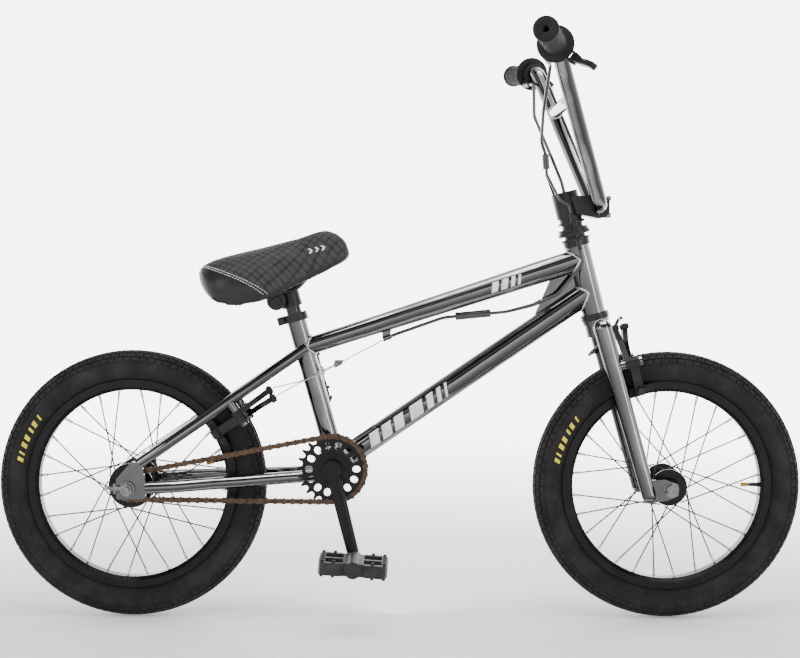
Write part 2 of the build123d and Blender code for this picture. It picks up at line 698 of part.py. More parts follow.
with BuildPart() as front_axle:
    axle(FRONT, 66, 55, 50, {-1: 40.4, 1: 40.4})
save(front_axle, "front_axle")

# ---------------------------------------------------------------- headset stack and detangler
SLEEVE_R = 15.6
GYRO_Y = 26.0
with BuildPart() as steering_stack:
    tube(along_steer(9.4), along_steer(12.5), 16.4, STEERER_R)
    tube(along_steer(12.5), along_steer(34.0), SLEEVE_R, STEERER_R)
    with BuildSketch(Plane(origin=along_steer(34.0), x_dir=(0, 1, 0), z_dir=STEER_AXIS)):
        Circle(20.0)
        Rectangle(62, 9)
        Circle(STEERER_R, mode=Mode.SUBTRACT)
        with Locations((-GYRO_Y, 0), (GYRO_Y, 0)):
            Circle(1.6, mode=Mode.SUBTRACT)
    extrude(amount=3.5)
    tube(along_steer(37.5), along_steer(43.6), 17.0, STEERER_R)
    for side in SIDES:
        tube(along_steer(37.5, side=side * GYRO_Y), along_steer(50, side=side * GYRO_Y), 3.4, 1.6)
save(steering_stack, "steering_stack")

with BuildPart() as gyro_plate:
    with BuildSketch(Plane(origin=along_steer(9.0), x_dir=(0, 1, 0), z_dir=STEER_AXIS)):
        Circle(21.5)
        Rectangle(62, 9)
        Circle(16.8, mode=Mode.SUBTRACT)
        with Locations((-GYRO_Y, 0), (GYRO_Y, 0)):
            Circle(1.6, mode=Mode.SUBTRACT)
    extrude(amount=3.0)
    for side in SIDES:
        tube(along_steer(9.0, side=side * GYRO_Y), along_steer(-6, side=side * GYRO_Y), 3.4, 1.6)
save(gyro_plate, "gyro_plate")

with BuildPart() as gyro_lower:
    with BuildSketch(Plane(origin=along_steer(17.0), x_dir=(0, 1, 0), z_dir=STEER_AXIS)):
        Circle(24.0)
        Rectangle(62, 8)
        Circle(SLEEVE_R + FIT, mode=Mode.SUBTRACT)
    extrude(amount=5.0)
    for side in SIDES:
        tube(along_steer(-1.0, side=side * GYRO_Y), along_steer(17.0, side=side * GYRO_Y), 0.9)
save(gyro_lower, "gyro_lower")

with BuildPart() as gyro_upper:
    with BuildSketch(Plane(origin=along_steer(22.3), x_dir=(0, 1, 0), z_dir=STEER_AXIS)):
        Circle(22.0)
        Rectangle(62, 8)
        Circle(SLEEVE_R + FIT, mode=Mode.SUBTRACT)
    extrude(amount=5.0)
    for side in SIDES:
        tube(along_steer(27.3, side=side * GYRO_Y), along_steer(43.0, side=side * GYRO_Y), 0.9)
save(gyro_upper, "gyro_upper")

# ---------------------------------------------------------------- stem and handlebar
BAR_CENTRE = Vector(291.3, 0, 612.4)
STEM_HALF = 22.0
STEM_LOW = 43.6
STEM_HIGH = 82.0
stem_split = BAR_CENTRE.X
with BuildPart() as stem:
    tube(along_steer(STEM_LOW), along_steer(STEM_HIGH), 19.5)
    with BuildSketch(Plane.XZ.offset(-STEM_HALF)):
        with BuildLine():
            Polyline((258, 602), (stem_split, 595), (stem_split, 629.8), (250, 628), close=True)
        make_face()
    extrude(amount=2 * STEM_HALF)
    tube(along_steer(STEM_LOW - 15), along_steer(STEM_LOW), 19.0, mode=Mode.SUBTRACT)
    tube(along_steer(STEM_LOW - 5), along_steer(STEM_HIGH - 2), STEERER_R, mode=Mode.SUBTRACT)
    tube(along_steer(STEM_HIGH - 3), along_steer(STEM_HIGH + 3), 8.0, mode=Mode.SUBTRACT)
    tube(BAR_CENTRE - SIDEWAYS * 30, BAR_CENTRE + SIDEWAYS * 30, BAR_R, mode=Mode.SUBTRACT)
    with BuildSketch(Plane(origin=along_steer(STEM_LOW - 1), x_dir=(0, 1, 0), z_dir=STEER_AXIS)):
        with Locations((0, 17)):
            Rectangle(2, 14, mode=Mode.ADD)
    extrude(amount=60, mode=Mode.SUBTRACT)
save(stem, "stem")

with BuildPart() as stem_cap:
    with BuildSketch(Plane.XZ.offset(-STEM_HALF)):
        with BuildLine():
            Polyline((stem_split + 1, 595), (301, 597), (307, 604), (307, 621), (301, 628),
                     (stem_split + 1, 629.8),
                     close=True)
        make_face()
    extrude(amount=2 * STEM_HALF)
    tube(BAR_CENTRE - SIDEWAYS * 30, BAR_CENTRE + SIDEWAYS * 30, BAR_R, mode=Mode.SUBTRACT)
save(stem_cap, "stem_cap")

with BuildPart() as stem_bolts:
    for side in SIDES:
        for z in (600.0, 625.0):
            tube(Vector(303.0, side * 15, z), Vector(309.5, side * 15, z), 3.6)
with BuildPart() as stem_cap_drilled:
    add(stem_cap.part)
    add(stem_bolts.part, mode=Mode.SUBTRACT)
save(stem_cap_drilled, "stem_cap")
save(stem_bolts, "stem_bolts")

GRIP_CORNER = Vector(215.5, 164, 826)
BAR_END = Vector(187.0, 291, 834.8)
GRIP_DIR = direction(GRIP_CORNER, BAR_END)
bar_route = [on_side(BAR_END, -1), on_side(GRIP_CORNER, -1), Vector(BAR_CENTRE.X, -40, BAR_CENTRE.Z),
             Vector(BAR_CENTRE.X, 40, BAR_CENTRE.Z), GRIP_CORNER, BAR_END]
CROSSBAR = Vector(238.6, 126.3, 761.0)
with BuildPart() as handlebar:
    bent_bar(bar_route, [26, 30, 30, 26], BAR_R)
    tube(on_side(CROSSBAR, -1), CROSSBAR, 9.5)
    for side in SIDES:
        tube(on_side(BAR_END, side), on_side(BAR_END - GRIP_DIR * 60, side), BAR_R - 2,
             mode=Mode.SUBTRACT)
save(handlebar, "handlebar")


def on_grip(distance, side, forward=0.0, normal=0.0):
    """A point by the handlebar's end: distance along the grip from the bar's corner."""
    point = GRIP_CORNER + GRIP_DIR * distance + LEVER_FORWARD * forward + LEVER_NORMAL * normal
    return on_side(point, side)


lever_aim = Vector(0.80, 0, -0.60)
LEVER_FORWARD = (lever_aim - GRIP_DIR * lever_aim.dot(GRIP_DIR)).normalized()
LEVER_NORMAL = GRIP_DIR.cross(LEVER_FORWARD)
GRIP_START = 29.0
GRIP_END = 134.0
with BuildPart() as grips:
    for side in SIDES:
        tube(on_grip(GRIP_START, side), on_grip(GRIP_START + 4, side), 26.0)
        tube(on_grip(GRIP_START + 4, side), on_grip(GRIP_END, side), 16.0)
        tube(on_grip(GRIP_END - 4, side), on_grip(GRIP_END, side), 17.5)
        end = (BAR_END - GRIP_CORNER).length
        tube(on_grip(GRIP_START - 5, side), on_grip(end, side), BAR_R, mode=Mode.SUBTRACT)
        tube(on_grip(end - 2, side), on_grip(end + 20, side), 4.0, mode=Mode.SUBTRACT)
save(grips, "grips")

# ---------------------------------------------------------------- brake levers
PERCH_START = 14.5
PERCH_END = 27.5
LEVER_PIVOT = 21.0
LEVER_REACH = 31.0
LEVER_HALF = 4.0
BARREL_DROP = 22.0
BARREL_START = -1.5
with BuildPart() as lever_perches:
    for side in SIDES:
        tube(on_grip(PERCH_START, side), on_grip(PERCH_END, side), 15.5)
        for low, high in ((-LEVER_HALF - 3.4, -LEVER_HALF - 0.4), (LEVER_HALF + 0.4, LEVER_HALF + 3.4)):
            tube(on_grip(LEVER_PIVOT, side, LEVER_REACH, low),
                 on_grip(LEVER_PIVOT, side, LEVER_REACH, high), 6.5)
            start = on_grip(LEVER_PIVOT, side, 10, (low + high) / 2)
            end = on_grip(LEVER_PIVOT, side, LEVER_REACH, (low + high) / 2)
            normal = on_side(LEVER_NORMAL, side)
            with BuildSketch(Plane(origin=start, x_dir=normal, z_dir=direction(start, end))):
                Rectangle(3.0, 13.0)
            extrude(amount=(end - start).length)
        tube(on_grip(LEVER_PIVOT, side, LEVER_REACH, -LEVER_HALF - 4),
             on_grip(LEVER_PIVOT, side, LEVER_REACH,
                                                                                LEVER_HALF + 4), 2.5)
        # cable barrel, inboard of the clamp
        tube(on_grip(PERCH_END, side, 0, BARREL_DROP), on_grip(BARREL_START, side, 0, BARREL_DROP), 4.0)
        tube(on_grip(PERCH_END - 5, side, 0, 12), on_grip(PERCH_END - 5, side, 0, BARREL_DROP), 4.8)
        tube(on_grip(PERCH_START - 6, side), on_grip(PERCH_END + 6, side), BAR_R, mode=Mode.SUBTRACT)
save(lever_perches, "lever_perches")


def make_lever(side, label):
    """A short curved blade that pivots in front of the grip."""
    face = on_side(LEVER_NORMAL, side)
    pivot = on_grip(LEVER_PIVOT, side, LEVER_REACH)
    plane = Plane(origin=pivot - face * LEVER_HALF, x_dir=on_side(GRIP_DIR, side), z_dir=face)
    toward = 1 if plane.y_dir.dot(on_side(LEVER_FORWARD, side)) > 0 else -1
    with BuildPart() as lever:
        for points in (((0, 0, 6.2), (14, 7, 5.2)), ((14, 7, 5.2), (34, 20, 4.2)),
                       ((34, 20, 4.2), (60, 30, 4.0)),
                       ((60, 30, 4.0), (80, 42, 5.0))):
            with BuildSketch(plane):
                for x, y, radius in points:
                    with Locations((x, y * toward)):
                        Circle(radius)
                make_hull()
            extrude(amount=2 * LEVER_HALF)
        tube(pivot - face * 6, pivot + face * 6, 2.5 + FIT, mode=Mode.SUBTRACT)
    save(lever, label)


make_lever(-1, "lever_right")
make_lever(1, "lever_left")

# ---------------------------------------------------------------- rim brakes
PAD_S = -43.5
PAD_P = 30.0
PAD_FACE = 16.4


def make_brake(foot, upward, outward, side, level, arm_label, pad_label):
    """One brake arm on its pivot, and its pad. The arms cross above the tyre, one in front of the other."""
    pivot = Vector(foot.X, side * PIVOT_Y, foot.Z)

    def at(y, s, p):
        return Vector(foot.X, side * y, foot.Z) + upward * s + outward * p

    def sheet(p):
        return Plane(origin=Vector(foot.X, 0, foot.Z) + outward * p, x_dir=(0, 1, 0), z_dir=outward)

    flip = 1 if sheet(0).y_dir.dot(upward) > 0 else -1
    lower = ((32.5, PAD_S, 7.5), (PIVOT_Y, 0, 8.5))
    upper = (((PIVOT_Y, 0, 8.5), (22, 31, 6.0)), ((22, 31, 6.0), (-9, 52, 5.0)))
    with BuildPart() as arm:
        for low, high, hull in ((22, 35, lower), (level, level + 8, upper[0]),
                                (level, level + 8, upper[1])):
            with BuildSketch(sheet(low)):
                for y, s, radius in hull:
                    with Locations((side * y, flip * s)):
                        Circle(radius)
                make_hull()
            extrude(amount=high - low)
        tube(pivot + outward * (BOSS_END + 0.4), pivot + outward * HUB_END, 9.0)
        tube(pivot, pivot + outward * 45, PIVOT_R + FIT, mode=Mode.SUBTRACT)
        tube(at(10, PAD_S, PAD_P), at(60, PAD_S, PAD_P), 3.5, mode=Mode.SUBTRACT)
        anchor = at(-9, 52, level)
        tube(anchor - outward * 2.5, anchor + outward, 3.5)
        tube(anchor + outward * 7, anchor + outward * 10.5, 4.0)
    save(arm, arm_label)
    with BuildPart() as pad:
        start = at(PAD_FACE, PAD_S, PAD_P)
        with BuildSketch(Plane(origin=start, x_dir=outward, z_dir=(0, side, 0))):
            RectangleRounded(44, 10, 3)
        extrude(amount=8)
        tube(at(PAD_FACE + 8, PAD_S, PAD_P), at(48.5, PAD_S, PAD_P), 3.5)
        hexagon(at(43.0, PAD_S, PAD_P), at(47.5, PAD_S, PAD_P), 10.0)
    save(pad, pad_label)


for side, word in ((-1, "right"), (1, "left")):
    level = 17.5 if side < 0 else 30.0
    make_brake(front_pivot_foot, LEG_DIR * -1, LEG_OUT, side, level, f"front_brake_arm_{word}",
               f"front_brake_pad_{word}")
    make_brake(rear_pivot_foot, STAY_DIR, STAY_OUT, side, level, f"rear_brake_arm_{word}",
               f"rear_brake_pad_{word}")

# ---------------------------------------------------------------- seat post and saddle
SADDLE_TILT = math.radians(14.6)
SADDLE_FORWARD = Vector(math.cos(SADDLE_TILT), 0, math.sin(SADDLE_TILT))
SADDLE_UP = Vector(-math.sin(SADDLE_TILT), 0, math.cos(SADDLE_TILT))
SADDLE_ORIGIN = Vector(-190, 0, 525)


def on_saddle(u, y, v):
    return SADDLE_ORIGIN + SADDLE_FORWARD * u + SADDLE_UP * v + Vector(0, y, 0)


POST_TOP = 36.0
CLAMP_BOLT = on_saddle(-6, 0, -52.7)
BOLT_R = 4.0
RAIL_R = 3.5
RAIL_V = -43.5
with BuildPart() as seat_post:
    tube(along_seat(-100), along_seat(POST_TOP), POST_R, POST_R - WALL)
save(seat_post, "seat_post")

with BuildPart() as seat_post_clamp:
    tube(along_seat(10), along_seat(32), POST_R + 4, POST_R)
    tube(CLAMP_BOLT - SIDEWAYS * 15.5, CLAMP_BOLT + SIDEWAYS * 15.5, 9.0)
    tube(along_seat(-1), along_seat(40), POST_R, mode=Mode.SUBTRACT)
    tube(CLAMP_BOLT - SIDEWAYS * 20, CLAMP_BOLT + SIDEWAYS * 20, BOLT_R + FIT, mode=Mode.SUBTRACT)
save(seat_post_clamp, "seat_post_clamp")

rail_route = [(70, 5.5, -4), (58, 8.5, -22), (24, 22, RAIL_V), (-36, 22, RAIL_V), (-62, 29, -8)]
RAIL_BENDS = [10, 24, 24]
with BuildPart() as saddle_rails:
    for side in SIDES:
        bent_bar([on_saddle(u, side * y, v) for u, y, v in rail_route], RAIL_BENDS, RAIL_R)
save(saddle_rails, "saddle_rails")

with BuildPart() as saddle_clamp_cups:
    for side in SIDES:
        tube(CLAMP_BOLT + SIDEWAYS * side * 16, CLAMP_BOLT + SIDEWAYS * side * 28, 14.0)
        tube(on_saddle(-40, side * 22, RAIL_V), on_saddle(30, side * 22, RAIL_V), RAIL_R,
             mode=Mode.SUBTRACT)
    tube(CLAMP_BOLT - SIDEWAYS * 30, CLAMP_BOLT + SIDEWAYS * 30, BOLT_R)
    for side in SIDES:
        hexagon(CLAMP_BOLT + SIDEWAYS * side * 28, CLAMP_BOLT + SIDEWAYS * side * 34, 12.0)
save(saddle_clamp_cups, "saddle_clamp_cups")

# saddle outline: station along the saddle, half width, height of the crown, height of the lower edge
saddle_stations = []
for u, half, top, low in ((-107, 30, 18, 2), (-98, 54, 24, -22), (-78, 68, 28, -38), (-48, 71, 28, -46),
                          (-12, 60, 27, -47), (24, 40, 27, -40), (60, 28, 29, -33), (88, 24, 30, -26),
                          (106, 18, 19, -21), (115, 9, 4, -14)):
    saddle_stations.append((u, half, top, low))


def saddle_section(u, half, top, low, shell):
    plane = Plane(origin=on_saddle(u, 0, 0), x_dir=(0, 1, 0), z_dir=SADDLE_FORWARD)
    half = half - shell
    top = top - shell
    low = low - (1.0 if shell > 0 else 0.0)
    up = 1 if plane.y_dir.dot(SADDLE_UP) > 0 else -1
    with BuildSketch(plane) as section:
        with BuildLine():
            Spline((-half * 0.94, up * low), (-half, up * (low * 0.45 + top * 0.55)),
                   (-half * 0.62, up * (top * 0.94 + low * 0.06)),
                   (0, up * top), (half * 0.62, up * (top * 0.94 + low * 0.06)), (half,
                                                                                  up * (low * 0.45 + top * 0.55)),
                   (half * 0.94, up * low))
            Line((half * 0.94, up * low), (-half * 0.94, up * low))
        make_face()
    return section.sketch


FOAM = 9.0
PAN = 3.0
with BuildPart() as saddle_cover:
    loft([saddle_section(*station, 0) for station in saddle_stations])
    loft([saddle_section(*station, FOAM) for station in saddle_stations[2:-2]], mode=Mode.SUBTRACT)
save(saddle_cover, "saddle_cover")

with BuildPart() as saddle_base:
    loft([saddle_section(u * 0.985, half, top, low + 2.0, FOAM + 0.6)
          for u, half, top, low in saddle_stations[2:-2]])
    loft([saddle_section(u * 0.94, half, top, low - 1.0, FOAM + PAN + 0.6)
          for u, half, top, low in saddle_stations[2:-2]], mode=Mode.SUBTRACT)
    for side in SIDES:
        bent_bar([on_saddle(u, side * y, v) for u, y, v in rail_route], RAIL_BENDS, RAIL_R + 0.02,
                 mode=Mode.SUBTRACT)
save(saddle_base, "saddle_base")

# ---------------------------------------------------------------- cables
HOUSING_R = 2.5
WIRE_R = 0.9
with BuildPart() as brake_cables:
    # right lever: one housing to a junction behind the bars, then one leg to each side of the upper plate
    start = on_grip(BARREL_START, -1, 0, BARREL_DROP)
    inward = on_grip(BARREL_START - 22, -1, 0, BARREL_DROP)
    joint = Vector(214, 0, 690)
    bent_bar([start, inward, Vector(204, -74, 748), Vector(207, -8, 708), joint], [18, 60, 16],
             HOUSING_R)
    tube(joint, joint + Vector(1.5, 0, -22), 5.0)
    for side in SIDES:
        leg = joint + Vector(1.5, side * 2.2, -22)
        bent_bar([leg, leg + Vector(0.4, side * 1.5, -8),
                  along_steer(74, side=side * 27) - STEER_FORWARD * 12,
                  along_steer(62, side=side * GYRO_Y), along_steer(50, side=side * GYRO_Y)], [8, 12,
                                                                                              10], 2.1)
    # left lever: over the stem and down through the steerer, then round behind the leg to the front brake
    start = on_grip(BARREL_START, 1, 0, BARREL_DROP)
    inward = on_grip(BARREL_START - 22, 1, 0, BARREL_DROP)
    bent_bar([start, inward, Vector(204, 84, 752), Vector(222, 16, 692), along_steer(98),
              along_steer(-150), Vector(283, 16, 392), Vector(290, 60, 388), Vector(318, 62, 410),
              Vector(331, 40, 446), Vector(331, 17, 447)],
             [18, 60, 26, 26, 12, 20, 14, 14, 10], HOUSING_R)
save(brake_cables, "brake_cables")

SPLITTER_FRONT = Vector(134, 0, 454.6)
SPLITTER_REAR = Vector(82, 0, 449.4)
STOP_REAR_END = Vector(-13.4, 0, 419.85)
with BuildPart() as rear_cable_housing:
    for side in SIDES:
        bent_bar([along_steer(-6, side=side * GYRO_Y), along_steer(-26, side=side * GYRO_Y),
                  Vector(232, side * 24, 484),
                  Vector(198, side * 9, 467), Vector(158, side * 3, 456.6), Vector(134, side * 2.8,
                                                                                   454.2)],
                 [12, 26, 40, 60], 2.3)
    tube(SPLITTER_FRONT, SPLITTER_REAR, 5.8)
    bent_bar([SPLITTER_REAR, Vector(64, 0, 447.6), Vector(-6, 0, 422.8), STOP_REAR_END], [60, 60],
             HOUSING_R)
save(rear_cable_housing, "rear_cable_housing")

STOP_FRONT = Vector(-13.5, 0, 419.8)
WIRE_ENDS = (STOP_FRONT, Vector(-88, 0, 380.6))


def straddle_route(side):
    """From the yoke, past one side of the seat tube, to the far end of a brake arm."""
    anchor = rear_pivot_foot + STAY_DIR * 52 + STAY_OUT * (17.5 if side > 0 else 30.0)
    end = Vector(anchor.X, side * 9, anchor.Z) + STAY_OUT * 4 + STAY_DIR * 6.4
    return [Vector(-93, side * 1.5, 378.6), Vector(-113, side * 17.5, 367.5),
            Vector(-152, side * 17.5, 349.5), end]


with BuildPart() as cable_fittings:
    # stop under the top tube
    tube(STOP_FRONT, Vector(-25.5, 0, 415.0), 4.2)
    with BuildSketch(Plane.XZ.offset(-2)):
        with BuildLine():
            Polyline((-26, 416), (-16, 420), (-12, 434), (-28, 434), close=True)
        make_face()
    extrude(amount=4)
    top_tube_bar(0, Mode.SUBTRACT)
    # yoke that splits the wire
    with BuildSketch(Plane.XZ.offset(-3.2)):
        with BuildLine():
            Polyline((-84, 384), (-97, 384), (-100, 375), (-96, 372), (-86, 378), close=True)
        make_face()
    extrude(amount=6.4)
    tube(*WIRE_ENDS, WIRE_R, mode=Mode.SUBTRACT)
    for side in SIDES:
        start, second, third, end = straddle_route(side)
        tube(start, second, WIRE_R, mode=Mode.SUBTRACT)
save(cable_fittings, "cable_fittings")

with BuildPart() as rear_cable_wire:
    tube(*WIRE_ENDS, WIRE_R)
    for side in SIDES:
        bent_bar(straddle_route(side), [10, 24], WIRE_R)
save(rear_cable_wire, "rear_cable_wire")
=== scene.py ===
import json
import math
import random

import bpy
from mathutils import Matrix, Vector
from mathutils.bvhtree import BVHTree


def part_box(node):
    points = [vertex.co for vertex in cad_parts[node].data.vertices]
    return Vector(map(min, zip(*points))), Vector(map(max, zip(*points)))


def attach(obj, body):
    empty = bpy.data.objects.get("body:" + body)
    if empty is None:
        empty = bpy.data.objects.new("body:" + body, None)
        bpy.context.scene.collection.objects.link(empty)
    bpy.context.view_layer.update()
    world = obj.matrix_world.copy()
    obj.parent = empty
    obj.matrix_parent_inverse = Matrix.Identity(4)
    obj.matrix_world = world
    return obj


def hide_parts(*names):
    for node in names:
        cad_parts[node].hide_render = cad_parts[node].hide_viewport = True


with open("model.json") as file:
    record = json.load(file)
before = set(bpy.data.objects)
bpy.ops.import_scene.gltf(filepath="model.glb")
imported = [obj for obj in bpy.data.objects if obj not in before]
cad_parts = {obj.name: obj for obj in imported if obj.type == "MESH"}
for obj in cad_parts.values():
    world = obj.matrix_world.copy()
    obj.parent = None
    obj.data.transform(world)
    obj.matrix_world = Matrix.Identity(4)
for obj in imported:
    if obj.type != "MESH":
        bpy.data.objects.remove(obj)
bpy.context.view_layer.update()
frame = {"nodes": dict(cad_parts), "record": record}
random.seed(7)
SIDE = Vector((0, 1, 0))


# ---------------------------------------------------------------- materials
def link(tree, start, end):
    tree.links.new(start, end)


def math_node(tree, kind, first, second=0.5):
    node = tree.nodes.new("ShaderNodeMath")
    node.operation = kind
    for socket, value in zip(node.inputs, (first, second)):
        if hasattr(value, "links"):
            link(tree, value, socket)
        else:
            socket.default_value = value
    return node.outputs[0]


def position(tree, stretch=(1, 1, 1)):
    place = tree.nodes.new("ShaderNodeTexCoord")
    mapping = tree.nodes.new("ShaderNodeMapping")
    mapping.inputs["Scale"].default_value = stretch
    link(tree, place.outputs["Object"], mapping.inputs["Vector"])
    return mapping.outputs["Vector"]


def noise(tree, scale, detail=4.0, stretch=(1, 1, 1)):
    texture = tree.nodes.new("ShaderNodeTexNoise")
    texture.inputs["Scale"].default_value = scale
    texture.inputs["Detail"].default_value = detail
    link(tree, position(tree, stretch), texture.inputs["Vector"])
    return texture.outputs["Fac"]


def spread(tree, value, low, high, start=0.3, end=0.7):
    node = tree.nodes.new("ShaderNodeMapRange")
    for name, number in (("From Min", start), ("From Max", end), ("To Min", low), ("To Max", high)):
        node.inputs[name].default_value = number
    link(tree, value, node.inputs["Value"])
    return node.outputs["Result"]


def blend_colors(tree, amount, first, second):
    node = tree.nodes.new("ShaderNodeMix")
    node.data_type = "RGBA"
    link(tree, amount, node.inputs["Factor"])
    for socket, value in ((node.inputs[6], first), (node.inputs[7], second)):
        if hasattr(value, "links"):
            link(tree, value, socket)
        else:
            socket.default_value = (*value, 1)
    return node.outputs[2]


def add_bump(tree, shader, height, distance, strength=1.0):
    node = tree.nodes.new("ShaderNodeBump")
    node.inputs["Distance"].default_value = distance
    node.inputs["Strength"].default_value = strength
    link(tree, height, node.inputs["Height"])
    link(tree, node.outputs["Normal"], shader.inputs["Normal"])


def surface(name, color, worn, rough, metallic=0.0, patch=30.0, grain=900.0, bump=0.00005,
            stretch=(1, 1, 1), coat=0.0, shine=0.5):
    """A finish with worn patches, fine roughness streaks and a grain."""
    material = bpy.data.materials.new(name)
    material.use_nodes = True
    tree = material.node_tree
    shader = tree.nodes["Principled BSDF"]
    shader.inputs["Metallic"].default_value = metallic
    shader.inputs["Coat Weight"].default_value = coat
    shader.inputs["Specular IOR Level"].default_value = shine
    wear = spread(tree, noise(tree, patch, 6), 0, 1, 0.42, 0.68)
    link(tree, blend_colors(tree, wear, color, worn), shader.inputs["Base Color"])
    streaks = noise(tree, grain * 0.3, 5, stretch)
    link(tree, spread(tree, streaks, *rough), shader.inputs["Roughness"])
    add_bump(tree, shader, noise(tree, grain, 3, stretch), bump, 0.5)
    return material


def weathered(material, color, low, high, darkness):
    """Adds dirt where a fine noise is high."""
    tree = material.node_tree
    shader = tree.nodes["Principled BSDF"]
    base = shader.inputs["Base Color"].links[0].from_socket
    dirt = spread(tree, noise(tree, 160, 8), 0, darkness, low, high)
    link(tree, blend_colors(tree, dirt, base, color), shader.inputs["Base Color"])
    return material


def plated(name, bands, rough):
    """Mirror plating with painted reflections: its colour is darkened in bands by how far the surface faces up or
    down, so that bright and dark streaks run along a tube.
    """
    material = surface(name, (1, 1, 1), (0.86, 0.85, 0.85), rough, 1.0, 18, 260, 0.00002, (1, 1, 0.35))
    tree = material.node_tree
    shader = tree.nodes["Principled BSDF"]
    place = tree.nodes.new("ShaderNodeTexCoord")
    parts = tree.nodes.new("ShaderNodeSeparateXYZ")
    link(tree, place.outputs["Normal"], parts.inputs["Vector"])
    # Painted reflections: a noise shifts the edges of the painted bright and dark bands.
    painted_reflection_ripple = spread(tree, noise(tree, 14, 3), -0.09, 0.09)
    painted_reflection_level = math_node(tree, "ADD", parts.outputs["Z"], painted_reflection_ripple)
    # The ramp gives the painted reflection brightness for surfaces facing down, sideways and up.
    ramp = tree.nodes.new("ShaderNodeValToRGB")
    while len(ramp.color_ramp.elements) < len(bands):
        ramp.color_ramp.elements.new(0.5)
    for element, (level, value) in zip(ramp.color_ramp.elements, bands):
        element.position = (level + 1) / 2
        element.color = (value, value * 0.975, value * 0.98, 1)
    link(tree, spread(tree, painted_reflection_level, 0, 1, -1, 1), ramp.inputs["Fac"])
    base = shader.inputs["Base Color"].links[0].from_socket
    # The painted reflection bands multiply the worn plating colour.
    both = tree.nodes.new("ShaderNodeMix")
    both.data_type = "RGBA"
    both.blend_type = "MULTIPLY"
    both.inputs["Factor"].default_value = 1.0
    link(tree, base, both.inputs[6])
    link(tree, ramp.outputs["Color"], both.inputs[7])
    link(tree, both.outputs[2], shader.inputs["Base Color"])
    return weathered(material, (0.05, 0.048, 0.048), 0.62, 0.8, 0.4)


# Painted reflections on the chrome: each pair is how far the surface faces up, from -1 to 1, and the brightness
# painted there.
chrome = plated("dark_chrome", ((-1, 0.07), (-0.75, 0.05), (-0.58, 0.3), (-0.4, 0.04), (-0.15, 0.08),
    (0.02, 0.11),
                                (0.16, 0.21), (0.3, 0.12), (0.5, 0.06), (0.66, 0.5), (0.84, 0.7), (1, 0.3)),
                (0.045, 0.12))
weld = surface("weld_bead", (0.5, 0.49, 0.49), (0.3, 0.29, 0.29), (0.12, 0.3), 1.0, 90, 700, 0.0001)
black_metal = surface("black_metal", (0.009, 0.009, 0.0095), (0.018, 0.018, 0.0185), (0.22, 0.42), 0.0, 60,
    1500,
                      0.00005, coat=0.0, shine=0.2)
gloss_black = surface("gloss_black_metal", (0.0035, 0.0035, 0.004), (0.007, 0.007, 0.0075), (0.2, 0.36),
    0.0, 45, 1100,
                      0.00003, coat=0.0, shine=0.16)
steel = surface("steel_parts", (0.2, 0.2, 0.205), (0.09, 0.088, 0.085), (0.2, 0.42), 1.0, 120, 1300, 0.00004)
black_chrome = surface("black_chrome", (0.035, 0.035, 0.037), (0.02, 0.02, 0.021), (0.08, 0.2), 1.0, 40,
    500, 0.00002,
                       (1, 1, 0.2))
bronze = surface("bronze_chain", (0.085, 0.052, 0.034), (0.04, 0.027, 0.019), (0.26, 0.5), 0.85, 150, 1400,
    0.00006)
weathered(bronze, (0.02, 0.016, 0.013), 0.5, 0.7, 0.8)
brass = surface("valve_brass", (0.62, 0.43, 0.14), (0.38, 0.25, 0.08), (0.18, 0.35), 1.0, 200, 1300, 0.00004)
brake_rubber = surface("brake_rubber", (0.018, 0.018, 0.018), (0.04, 0.04, 0.04), (0.6, 0.85), 0.0, 90,
    1500, 0.0001, shine=0.15)
tyre_rubber = surface("tyre_rubber", (0.0125, 0.0115, 0.012), (0.022, 0.02, 0.0205), (0.52, 0.8), 0.0, 35,
    1300, 0.00012, shine=0.12)
weathered(tyre_rubber, (0.045, 0.042, 0.041), 0.6, 0.8, 0.35)
grip_rubber = surface("grip_rubber", (0.008, 0.008, 0.0085), (0.016, 0.016, 0.0165), (0.5, 0.78), 0.0, 50,
    1700, 0.0001, shine=0.15)
housing = surface("cable_housing", (0.012, 0.012, 0.013), (0.03, 0.03, 0.03), (0.2, 0.4), 0.0, 80, 1400,
    0.00004,
                  coat=0.2)
wire = surface("cable_wire", (0.62, 0.62, 0.64), (0.4, 0.4, 0.4), (0.2, 0.38), 1.0, 200, 2500, 0.0001)
pedal_plastic = surface("pedal_plastic", (0.018, 0.018, 0.019), (0.034, 0.033, 0.033), (0.42, 0.7), 0.0,
    80, 1500,
                        0.00015, shine=0.2)
saddle_plastic = surface("saddle_plastic", (0.012, 0.012, 0.012), (0.022, 0.022, 0.022), (0.1, 0.26), 0.0,
    60, 1000,
                         0.00004, coat=0.4)
thread = surface("white_thread", (0.72, 0.71, 0.68), (0.5, 0.49, 0.46), (0.6, 0.85), 0.0, 200, 3500, 0.0002)
decal_white = surface("decal_white", (0.8, 0.8, 0.79), (0.62, 0.62, 0.61), (0.22, 0.4), 0.0, 70, 900,
    0.00003, coat=0.3)
decal_black = surface("decal_black", (0.012, 0.012, 0.012), (0.03, 0.03, 0.03), (0.22, 0.4), 0.0, 70, 900,
    0.00003,
                      coat=0.3)
yellow = surface("yellow_mark", (0.78, 0.62, 0.02), (0.5, 0.4, 0.03), (0.45, 0.7), 0.0, 150, 1500, 0.00008)


